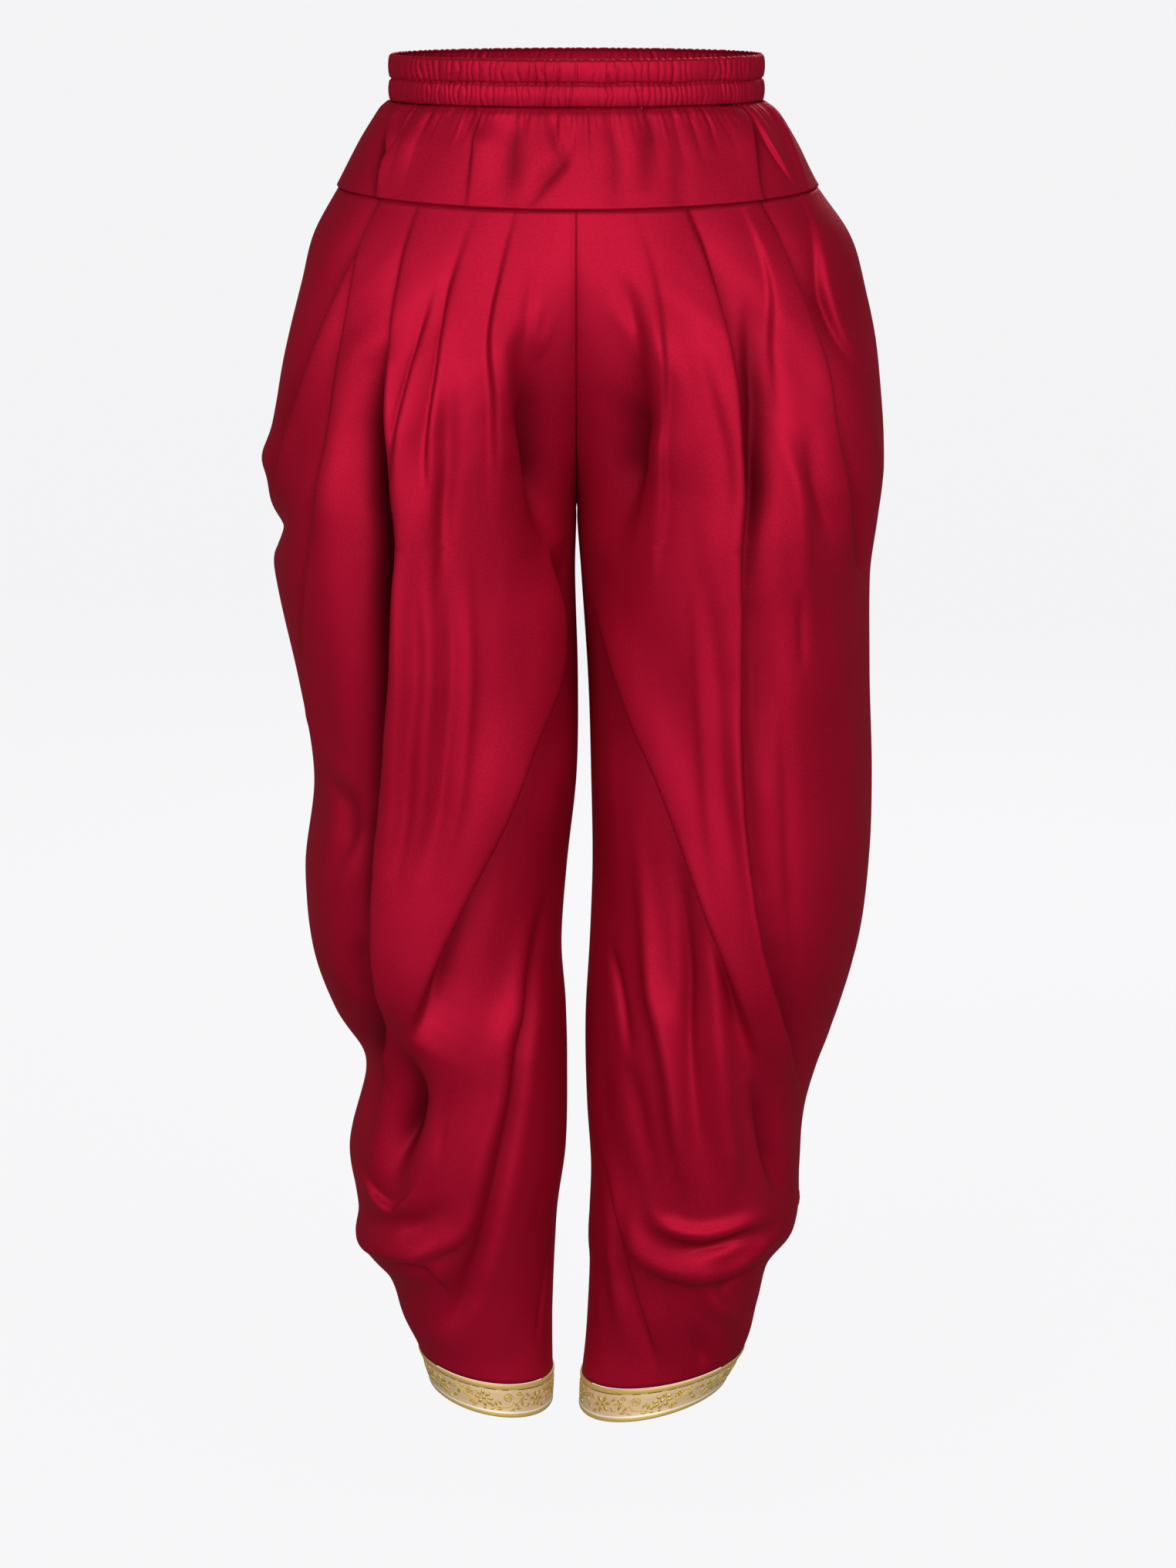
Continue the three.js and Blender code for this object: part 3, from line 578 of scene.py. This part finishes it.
def makeLegPanel(leg, back, material):
    name = "leg_%s_%s" % (leg["name"], "back" if back else "front")
    across = panel["backAcross" if back else "frontAcross"]
    down = panel["backDown" if back else "frontDown"]
    v = np.linspace(0, 1, down + 1)[:, None]

    def level(degrees):
        low = cuffZ(leg, degrees)
        return low + (yokeSeamZ(degrees) - cut["seamGap"] / 2 - low) * v

    # where the seam runs depends on its own height, so it is found step by step
    seam = np.zeros_like(v)
    for _ in range(panel["seamRounds"]):
        start = sectionAt(leg, level(seam))["start"]
        seam = 360 - start if back else start
    first, last = (np.full_like(v, 180.0), seam) if back else (seam, np.full_like(v, 180.0))
    # columns are evenly spaced along the folded cloth
    degrees = first + (last - first) * np.linspace(0, 1, panel["fine"])[None]
    places, _ = legSurface(leg, degrees, level(degrees))
    lengths = np.cumsum(np.linalg.norm(np.diff(places, axis=1), axis=2), axis=1)
    lengths = np.concatenate([np.zeros_like(v), lengths], axis=1)
    wanted = lengths[:, -1:] * np.linspace(0, 1, across + 1)[None]
    degrees = np.array([np.interp(w, l, d) for w, l, d in zip(wanted, lengths, degrees)])
    z = level(degrees)
    places, shade = legSurface(leg, degrees, z)
    places[..., 1] += cut["sewnGap"] / 2 * (1 if back else -1)
    uv = np.stack([wanted - wanted[:, -1:] * (0 if back else 1), z], axis=-1)
    obj = wrapGrid(name + "_cloth", across, down, gridPlace(places, uv, shade), flip=leg["side"] < 0)
    return finishPiece(obj, panel["cloth"], material, name)


# Waistband: the cloth is creased over two elastic channels with a stitch line between them
band = {"across": 1100, "rows": 36, "cloth": 1.0, "proud": 1.6, "seed": 5, "ringSteps": 4001,
        "creases": (128, 172), "depths": (0.15, 1.4), "slant": 0.42, "sharp": 0.55, "groove": 1.7,
        "topStrength": (1.1, 0.6), "lowStrength": (0.75, 0.5),   # of the grooves up or down a channel
        "puff": 1.5, "puffCurve": 0.6, "pinch": 1.8, "turn": 1.0, "notch": 0.8, "blend": 1.0,
        "stitch": 0.9, "stitchWidth": 0.8, "stitchShade": 2, "gathered": 1.7,
        "waver": (0.5, 40, 3)}   # depth, number and seed of the stitch line's wavers


def creaseRow(u, channel, count, rng, top):
    # narrow grooves between rounded gathers, each with its own depth and slant
    depths = rng.uniform(*band["depths"], count + 1)
    slants = rng.uniform(-band["slant"], band["slant"], (3, count + 1))
    depths[-1], slants[:, -1] = depths[0], slants[:, 0]
    spots = np.arange(count + 1)
    place = u * count
    low, middle, high = (np.interp(place, spots, row) for row in slants)
    bend = np.where(channel < 0.5, low + (middle - low) * channel * 2,
                    middle + (high - middle) * (channel * 2 - 1))
    groove = 1 - np.abs(np.sin(np.pi * (place + bend))) ** band["sharp"]
    if top:
        strength = band["topStrength"][0] - band["topStrength"][1] * smooth(channel)
    else:
        strength = band["lowStrength"][0] + band["lowStrength"][1] * np.abs(2 * channel - 1) ** 2
    return -band["groove"] * groove * strength * np.interp(place + bend, spots, depths), groove


def makeWaistband(material):
    rng = np.random.default_rng(band["seed"])
    fine = np.linspace(0, 2 * np.pi, band["ringSteps"])
    steps = np.hypot(cut["bandHalfWidth"] * np.diff(np.cos(fine)),
                     cut["bandHalfDepth"] * np.diff(np.sin(fine)))
    lengths = np.concatenate([[0], np.cumsum(steps)])

    def place(u, v):
        z = cut["bandFoot"] + (cut["bandTop"] - cut["bandFoot"]) * v
        angle = np.interp(u * lengths[-1], lengths, fine)
        amount, count, seed = band["waver"]
        stitch = cut["bandStitch"] + amount * softNoise(u * count, 0 * u, seed)
        upper = np.clip((z - stitch) / (cut["bandTop"] - stitch), 0, 1)
        lower = np.clip((z - cut["bandFoot"]) / (stitch - cut["bandFoot"]), 0, 1)
        upperOut, upperGroove = creaseRow(u, upper, band["creases"][0], rng, True)
        lowerOut, _ = creaseRow(u, lower, band["creases"][1], rng, False)
        upperOut = upperOut + band["puff"] * np.sin(np.pi * upper) ** band["puffCurve"]
        lowerOut = lowerOut + band["puff"] * np.sin(np.pi * lower) ** band["puffCurve"]
        share = smooth(0.5 + (z - stitch) / band["blend"] / 2)
        edge = smooth((z - cut["bandTop"] + band["pinch"]) / band["pinch"])
        seam = np.exp(-((z - stitch) / band["stitchWidth"]) ** 2)
        out = (band["proud"] + lowerOut + (upperOut - lowerOut) * share - band["turn"] * edge
               - band["stitch"] * seam)
        x = (cut["bandHalfWidth"] + out) * np.cos(angle)
        y = (cut["bandHalfDepth"] + out) * np.sin(angle)
        notch = band["notch"] * upperGroove * edge
        # painted shade in the gathers' grooves and along the stitch line
        depth = np.where(share > 0.5, upperOut, lowerOut) - band["stitchShade"] * seam
        uv = np.stack([u * lengths[-1] * band["gathered"], z], axis=-1)
        return np.stack([x, y, z - notch], axis=-1), uv, paintedShadeMix(depth, "waistband")

    obj = wrapGrid("waistband_cloth", band["across"], band["rows"], place, closed=True)
    return finishPiece(obj, band["cloth"], material, "waistband")


# Yokes: the band's gathers die out into soft folds, and the hem lies over the legs
yokeCloth = {"cloth": 1.1, "frontAcross": 420, "backAcross": 360, "frontDown": 44, "backDown": 40,
             "proud": 1.4, "bandArc": 185, "backShift": 500, "levelRounds": 4,
             "waver": (1.6, 15, 26, 31), "broad": (0.8, 24, 120, 32),   # depth, width, length and seed
             "tuck": (1.6, 5)}                                # how far and how long it turns under
gathers = {"count": 420, "vary": (0.6, 1.4), "start": 200, "round": 1400, "curve": 0.8,
           "series": [{"spacing": 5.4, "depths": (0.5, 1.7), "lengths": (6, 34), "seed": 34},
                      {"spacing": 19, "depths": (0.5, 2.3), "lengths": (20, 75), "seed": 35}]}


def gatherSeries(x, down, spacing, depths, lengths, seed):
    # gathers side by side under the band, each with its own width, depth and length
    rng = np.random.default_rng(seed)
    edges = np.cumsum(rng.uniform(*gathers["vary"], gathers["count"])) * spacing
    tall, long = rng.uniform(*depths, gathers["count"]), rng.uniform(*lengths, gathers["count"])
    x = (x + gathers["start"]) % gathers["round"] + edges[0]
    at = np.searchsorted(edges, x, side="right") - 1
    share = (x - edges[at]) / (edges[at + 1] - edges[at])
    return tall[at] * np.sin(np.pi * share) ** gathers["curve"] * smooth(1 - down / long[at])


def yokeSurface(leg, degrees, z, flat):
    # places on the yoke, and how much shade is painted into the colour there
    part = sectionAt(leg, z)
    roundness = np.radians((part["half"] + part["front"]) / 2)
    height, around, rise = foldField(leg["yokeFolds"], degrees, z, roundness)
    down = cut["bandFoot"] - z
    # the gathers spread out as they run down over the wider hips
    amount, wide, tall, seed = yokeCloth["waver"]
    spread = flat + amount * softNoise(flat / wide, z / tall, seed)
    for series in gathers["series"]:
        height = height + gatherSeries(spread, down, **series)
    amount, wide, tall, seed = yokeCloth["broad"]
    height = height + amount * softNoise(flat / wide, z / tall, seed)
    amount, tall = yokeCloth["tuck"]
    height = height - amount * smooth(1 - down / tall)
    places = skin(leg, degrees + around / roundness, z + rise, yokeCloth["proud"] + height)
    return places, paintedShadeMix(height, "yokes")


def makeYoke(back, material):
    name = "yoke_back" if back else "yoke_front"
    middle = 270.0 if back else 90.0

    def place(u, v):
        places, uv, shade = np.zeros((len(u), 3)), np.zeros((len(u), 2)), np.zeros(len(u))
        for leg in (rightLeg, leftLeg):
            mine = u < 0.5 if leg is rightLeg else u >= 0.5
            share, high = np.abs(u[mine] - 0.5) * 2, v[mine]
            degrees = np.full_like(share, middle)
            for _ in range(yokeCloth["levelRounds"]):
                low = yokeSeamZ(degrees) + cut["seamGap"] / 2
                z = low + (cut["bandFoot"] - cut["seamGap"] - low) * high
                degrees, arc = degreesAlong(leg, z, share, middle, 180.0)
            spread = leg["side"] * share * yokeCloth["bandArc"] + (yokeCloth["backShift"] if back else 0)
            places[mine], shade[mine] = yokeSurface(leg, degrees, z, spread)
            uv[mine] = np.stack([leg["side"] * arc, z], axis=-1)
        places[:, 1] += cut["sewnGap"] / 2 * (1 if back else -1)
        return places, uv, shade

    across = yokeCloth["backAcross" if back else "frontAcross"]
    down = yokeCloth["backDown" if back else "frontDown"]
    obj = wrapGrid(name + "_cloth", across, down, place, flip=back)
    return finishPiece(obj, yokeCloth["cloth"], material, name)


# Border ribbons: woven bands, with a vine of flowers laid on the pale ground
ribbon = {"cloth": 1.0, "around": 220, "proud": 0.3, "length": 300,
          # height of each level over the lower edge, and how far it stands out there
          "levels": [0, 0.5, 1.2, 2.4, 3.0, 3.5, 4.1, 4.6, 8.5, 13, 17.5, 21.2, 21.7, 22.2, 23.4, 24.8,
                     25.6, 26],
          "rises": [0.1, 0.5, 0.75, 0.75, 0.5, 0.5, 0.45, 0.2, 0.2, 0.2, 0.2, 0.2, 0.1, 0.55, 0.75, 0.75,
                    0.5, 0.1],
          "bands": [(0, "gold"), (3.1, "white"), (4.3, "ground"), (21.4, "thread"), (22.0, "gold"),
                    (25.3, "edge")],
          "gold": (0.62, 0.43, 0.11, 1), "ground": (0.74, 0.53, 0.30, 1),
          "maroon": (0.10, 0.006, 0.012, 1), "white": (0.90, 0.87, 0.80, 1), "edge": (0.74, 0.50, 0.20, 1),
          "dashScale": 150.0, "dashShare": 0.56, "weaveScale": 1800.0, "weave": (0.35, 0.0003),
          "values": {"Roughness": 0.5, "Metallic": 0.3}}
goldCord = {"dark": (0.42, 0.28, 0.04, 1), "light": (0.85, 0.62, 0.15, 1), "scale": 1600.0,
            "ramp": (0.35, 0.65), "values": {"Roughness": 0.42, "Metallic": 0.6}}


def makeRibbonMaterial():
    material, tree, shader = newMaterial("goldRibbon")
    link = tree.links.new
    coords = addNode(tree, "ShaderNodeTexCoord")
    split = addNode(tree, "ShaderNodeSeparateXYZ")
    scale = addNode(tree, "ShaderNodeMath", operation="MULTIPLY")
    scale.inputs[1].default_value = 1 / (cut["borderHeight"] * mm)
    link(coords.outputs["UV"], split.inputs["Vector"])
    link(split.outputs["Y"], scale.inputs[0])
    ramps = []
    for thread in ("maroon", "ground"):   # the thin thread line shows in places only
        ramp = addNode(tree, "ShaderNodeValToRGB")
        ramp.color_ramp.interpolation = "CONSTANT"
        ramp.color_ramp.elements[0].color = ribbon["gold"]   # the lowest band
        ramp.color_ramp.elements.remove(ramp.color_ramp.elements[1])
        for start, name in ribbon["bands"][1:]:
            stop = ramp.color_ramp.elements.new(start / cut["borderHeight"])
            stop.color = ribbon[thread if name == "thread" else name]
        link(scale.outputs["Value"], ramp.inputs["Fac"])
        ramps.append(ramp)
    broken = addNode(tree, "ShaderNodeTexNoise", Scale=ribbon["dashScale"], Detail=1.0)
    shown = addNode(tree, "ShaderNodeMath", operation="GREATER_THAN")
    shown.inputs[1].default_value = ribbon["dashShare"]
    both = addNode(tree, "ShaderNodeMixRGB")
    link(coords.outputs["UV"], broken.inputs["Vector"])
    link(broken.outputs["Fac"], shown.inputs[0])
    link(shown.outputs["Value"], both.inputs["Fac"])
    link(ramps[0].outputs["Color"], both.inputs["Color1"])
    link(ramps[1].outputs["Color"], both.inputs["Color2"])
    link(both.outputs["Color"], shader.inputs["Base Color"])
    addWeave(tree, shader, coords.outputs["UV"], ribbon["weaveScale"], *ribbon["weave"])
    setValues(shader, ribbon["values"])
    return material


def makeThreadMaterial():
    material, tree, shader = newMaterial("goldThread")
    link = tree.links.new
    coords = addNode(tree, "ShaderNodeTexCoord")
    threads = addNode(tree, "ShaderNodeTexNoise", Scale=goldCord["scale"], Detail=2.0)
    ramp = addNode(tree, "ShaderNodeValToRGB")
    for stop, name, position in zip(ramp.color_ramp.elements, ("dark", "light"), goldCord["ramp"]):
        stop.color, stop.position = goldCord[name], position
    link(coords.outputs["Object"], threads.inputs["Vector"])
    link(threads.outputs["Fac"], ramp.inputs["Fac"])
    link(ramp.outputs["Color"], shader.inputs["Base Color"])
    setValues(shader, goldCord["values"])
    return material


def ribbonPoint(leg, share, up, out):
    # a place on the ribbon, by its share of the way round and its height over the lower edge
    degrees = 360 * share
    z = cuffZ(leg, degrees) - cut["seamGap"] - cut["borderHeight"] + up
    rise = np.interp(up, ribbon["levels"], ribbon["rises"])
    return skin(leg, degrees, z, ribbon["proud"] + rise + out)


def makeRibbon(leg, material):
    name = "border_" + leg["name"]
    rows = len(ribbon["levels"]) - 1

    def place(u, v):
        up = np.interp(v * rows, np.arange(rows + 1), ribbon["levels"])
        uv = np.stack([u * ribbon["length"], up], axis=-1)
        return ribbonPoint(leg, u, up, 0), uv, np.ones_like(u)

    obj = wrapGrid(name + "_ribbon", ribbon["around"], rows, place, flip=leg["side"] < 0, closed=True)
    return finishPiece(obj, ribbon["cloth"], material, name)


# One repeat of the vine, in mm along the ribbon and up from the middle of its ground
vine = {
    "repeats": 4, "length": 75, "start": 0.12, "middle": 12.9, "thick": 0.4, "tall": 0.55,
    "domeSides": (8, 4), "point": (0.72, 1.4),   # sides round and up, and how a petal narrows
    "cordSides": 6, "cordRise": 1.2, "cordTaper": 3, "cordTip": 0.02, "weld": 0.02,
    "leafSize": (1.2, 1.3), "stemSteps": 20, "curlSteps": 27, "curlIn": 0.75, "bud": 0.5,
    "ringSteps": 1441,
    "flowers": [  # along, up, petals, ring, petal length and width, turn, centre, pointed
        (0, 0.3, 6, 4.2, 5.8, 3.1, 12, 1.5, True), (41, 0.8, 8, 4.5, 4.3, 2.5, 0, 1.5, False),
        (51, 4.0, 5, 2.0, 2.4, 1.9, 18, 1.0, False)],
    "leaves": [  # along, up, angle, length, width
        (8.2, 4.4, 35, 4.2, 1.9), (8.6, -3.6, -30, 4.4, 2.0), (12.5, 3.0, -50, 4.0, 1.8),
        (13.2, -1.6, 70, 4.4, 1.9), (16.5, -5.8, 15, 4.4, 1.7), (17.6, -2.8, 48, 4.0, 1.7),
        (21, -6.6, -8, 3.6, 1.5), (30.0, -1.0, 62, 4.2, 1.8), (32.8, -2.2, 95, 4.0, 1.8),
        (31.0, -6.6, 10, 4.2, 1.6), (35.4, -3.8, 118, 3.2, 1.5), (36.0, -6.9, -25, 3.6, 1.5),
        (41.5, -6.8, 90, 2.6, 1.7), (56.6, 6.0, 20, 3.6, 1.6), (60, 0.6, -62, 4.4, 1.9),
        (63.5, -3.4, -35, 4.6, 2.0), (66.5, 4.0, 150, 4.4, 2.0), (69, -6.0, 25, 4.2, 1.9)],
    "stems": [
        [(19.6, 1.4), (20.6, -1.6), (24, -4.6), (30, -5.2), (36, -4.6)],
        [(44, -4.4), (48.5, -1.6), (54, 2.0), (59.5, 4.6), (65, 5.2)],
        [(45.4, -5.4), (50, -2.6), (55.5, 1.0), (61, 3.2), (66, 2.6)],
        [(8, 0.6), (11, 1.0), (15, 0.2), (19, -1.8)]],
    "curls": [  # along, up, radius, turns, start, way
        (23.4, 2.4, 3.8, 1.7, 200, -1), (50.2, -5.0, 2.6, 1.5, 150, 1), (15, 5.4, 2.2, 1.2, 250, -1)],
}


def addDome(bm, along, up, angle, length, width, pointed):
    # a low dome, narrowed to a point at both ends for a leaf or petal
    around, rows = vine["domeSides"]
    verts = bmesh.ops.create_uvsphere(bm, u_segments=around, v_segments=rows, radius=1)["verts"]
    narrow, power = vine["point"]
    turn = Matrix.Translation((along, up, 0)) @ Matrix.Rotation(math.radians(angle), 4, "Z")
    for v in verts:
        if pointed:
            v.co.y *= 1 - narrow * abs(v.co.x) ** power
        v.co = turn @ Vector((v.co.x * length / 2, v.co.y * width / 2, v.co.z * vine["tall"]))


def addCord(bm, points):
    # a round cord along a path, drawn out to a point at both ends
    points = np.array(points)
    steps = len(points) - 1
    way = np.gradient(points, axis=0)
    way = way / np.linalg.norm(way, axis=1)[:, None]
    verts = bmesh.ops.create_grid(bm, x_segments=steps, y_segments=vine["cordSides"], size=0.5)["verts"]
    for v in verts:
        at, turn = round((v.co.x + 0.5) * steps), (v.co.y + 0.5) * math.tau
        size = vine["thick"] * min(1, vine["cordTip"] + min(at, steps - at) / vine["cordTaper"])
        side = size * math.cos(turn)
        v.co = (points[at, 0] - way[at, 1] * side, points[at, 1] + way[at, 0] * side,
                vine["cordRise"] * size * math.sin(turn))
    bmesh.ops.remove_doubles(bm, verts=verts, dist=vine["weld"])


def makeVine(leg, material):
    bm = bmesh.new()
    for start in [vine["length"] * k for k in range(vine["repeats"])]:
        for along, up, petals, reach, length, width, turn, centre, pointed in vine["flowers"]:
            addDome(bm, start + along, up, 0, centre * 2, centre * 2, False)
            for k in range(petals):
                angle = turn + 360 * k / petals
                addDome(bm, start + along + reach * math.cos(math.radians(angle)),
                        up + reach * math.sin(math.radians(angle)), angle, length, width, pointed)
        for along, up, angle, length, width in vine["leaves"]:
            long, wide = vine["leafSize"]
            addDome(bm, start + along, up, angle, length * long, width * wide, True)
        for stem in vine["stems"]:
            addCord(bm, splinePoints(stem, vine["stemSteps"]) + (start, 0))
        for along, up, radius, turns, first, way in vine["curls"]:
            share = np.linspace(0, 1, vine["curlSteps"])
            angle = np.radians(first) + way * share * turns * math.tau
            size = radius * (1 - vine["curlIn"] * share)
            x, y = start + along + size * np.cos(angle), up + size * np.sin(angle)
            addCord(bm, np.stack([x, y], axis=-1))
            addDome(bm, start + along, up, 0, radius * vine["bud"], radius * vine["bud"], False)
    # laid round the ribbon by the ribbon's own length
    flat = np.array([v.co for v in bm.verts])
    shares = np.linspace(0, 1, vine["ringSteps"])
    ring = ribbonPoint(leg, shares, np.full_like(shares, vine["middle"]), 0)
    lengths = np.concatenate([[0], np.cumsum(np.linalg.norm(np.diff(ring, axis=0), axis=1))])
    turns = flat[:, 0] / (vine["length"] * vine["repeats"]) + vine["start"]
    around = np.interp(turns % 1 * lengths[-1], lengths, shares)
    places = ribbonPoint(leg, around, vine["middle"] + flat[:, 1], flat[:, 2])
    for v, co in zip(bm.verts, places * mm):
        v.co = co
    if leg["side"] < 0:
        bmesh.ops.reverse_faces(bm, faces=bm.faces)
    for face in bm.faces:
        face.smooth = True
    obj = addObject("border_%s_vine" % leg["name"], bm)
    obj.data.materials.append(material)
    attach(obj, "root")


# Camera, light, and a pale floor that sweeps up into the backdrop all round
studio = {"cameraAt": (0.008, -3.2, 0.150), "pitch": 78.46, "lens": 104.3, "world": 0.22,
          "aim": (0, 0, -0.5), "floorZ": -1.10, "floorRadius": 5, "sweep": 3, "wallHeight": 7,
          "floorSteps": 64, "glow": 0.9, "glowColour": (0.985, 0.985, 1, 1), "albedo": 0.05}
lights = [  # name, place, size, power
    ("keySoftbox", (-1.2, -3.0, 0.75), 1.8, 64),
    ("fillSoftbox", (1.3, -3.0, 0.5), 1.8, 52),
    ("lowSoftbox", (0.1, -2.6, -0.9), 0.9, 9),
    ("backSoftbox", (0.6, 2.8, 1.2), 1.8, 60),
]


def makeCamera():
    camera = bpy.data.objects.new("camera", bpy.data.cameras.new("camera"))
    camera.data.lens = studio["lens"]
    camera.location = studio["cameraAt"]
    camera.rotation_euler = (math.radians(studio["pitch"]), 0, 0)
    scene.collection.objects.link(camera)
    scene.camera = camera


def makeLights():
    for name, place, size, power in lights:
        light = bpy.data.objects.new(name, bpy.data.lights.new(name, "AREA"))
        light.data.size = size
        light.data.energy = power
        light.location = place
        aim = Vector(studio["aim"]) - Vector(place)
        light.rotation_euler = aim.to_track_quat("-Z", "Y").to_euler()
        scene.collection.objects.link(light)
    world = bpy.data.worlds.new("studio")
    world.use_nodes = True
    world.node_tree.nodes["Background"].inputs["Color"].default_value = (1, 1, 1, 1)
    world.node_tree.nodes["Background"].inputs["Strength"].default_value = studio["world"]
    scene.world = world


def makeFloor():
    bm = bmesh.new()
    radius, sweep = studio["floorRadius"], studio["sweep"]
    turns = [math.radians(a) for a in range(0, 91, 10)]
    outline = [(0, 0)] + [(radius + sweep * math.sin(a), sweep * (1 - math.cos(a))) for a in turns]
    outline.append((radius + sweep, studio["wallHeight"]))
    points = [bm.verts.new((x, 0, studio["floorZ"] + z)) for x, z in outline]
    edges = [bm.edges.new(pair) for pair in zip(points, points[1:])]
    bmesh.ops.spin(bm, geom=points + edges, cent=(0, 0, 0), axis=(0, 0, 1), angle=math.tau,
                   steps=studio["floorSteps"], use_merge=True)
    bmesh.ops.remove_doubles(bm, verts=bm.verts, dist=1e-4)
    bmesh.ops.recalc_face_normals(bm, faces=bm.faces)
    for face in bm.faces:
        face.smooth = True
    floor = addObject("sweep", bm)
    floor.visible_diffuse = False   # it is seen, but doesn't light the cloth from below
    floor.visible_glossy = False
    floor.visible_shadow = False
    material, _, shader = newMaterial("paleBackdrop")
    setValues(shader, {"Base Color": (studio["albedo"],) * 3 + (1,), "Roughness": 1.0,
                       "Specular IOR Level": 0.0, "Emission Color": studio["glowColour"],
                       "Emission Strength": studio["glow"]})
    floor.data.materials.append(material)


makeCamera()
makeLights()
makeFloor()
print("studio ready")
satinCloth = makeSatin()
goldRibbon = makeRibbonMaterial()
goldThread = makeThreadMaterial()
waistbandCloth = makeWaistband(satinCloth)
print("waistband ready")
yokeFront = makeYoke(False, satinCloth)
yokeBack = makeYoke(True, satinCloth)
print("yokes ready")
legPanels = [makeLegPanel(leg, back, satinCloth) for leg in (rightLeg, leftLeg) for back in (False, True)]
print("legs ready")
ribbons = [makeRibbon(leg, goldRibbon) for leg in (rightLeg, leftLeg)]
for leg in (rightLeg, leftLeg):
    makeVine(leg, goldThread)
print("borders ready")
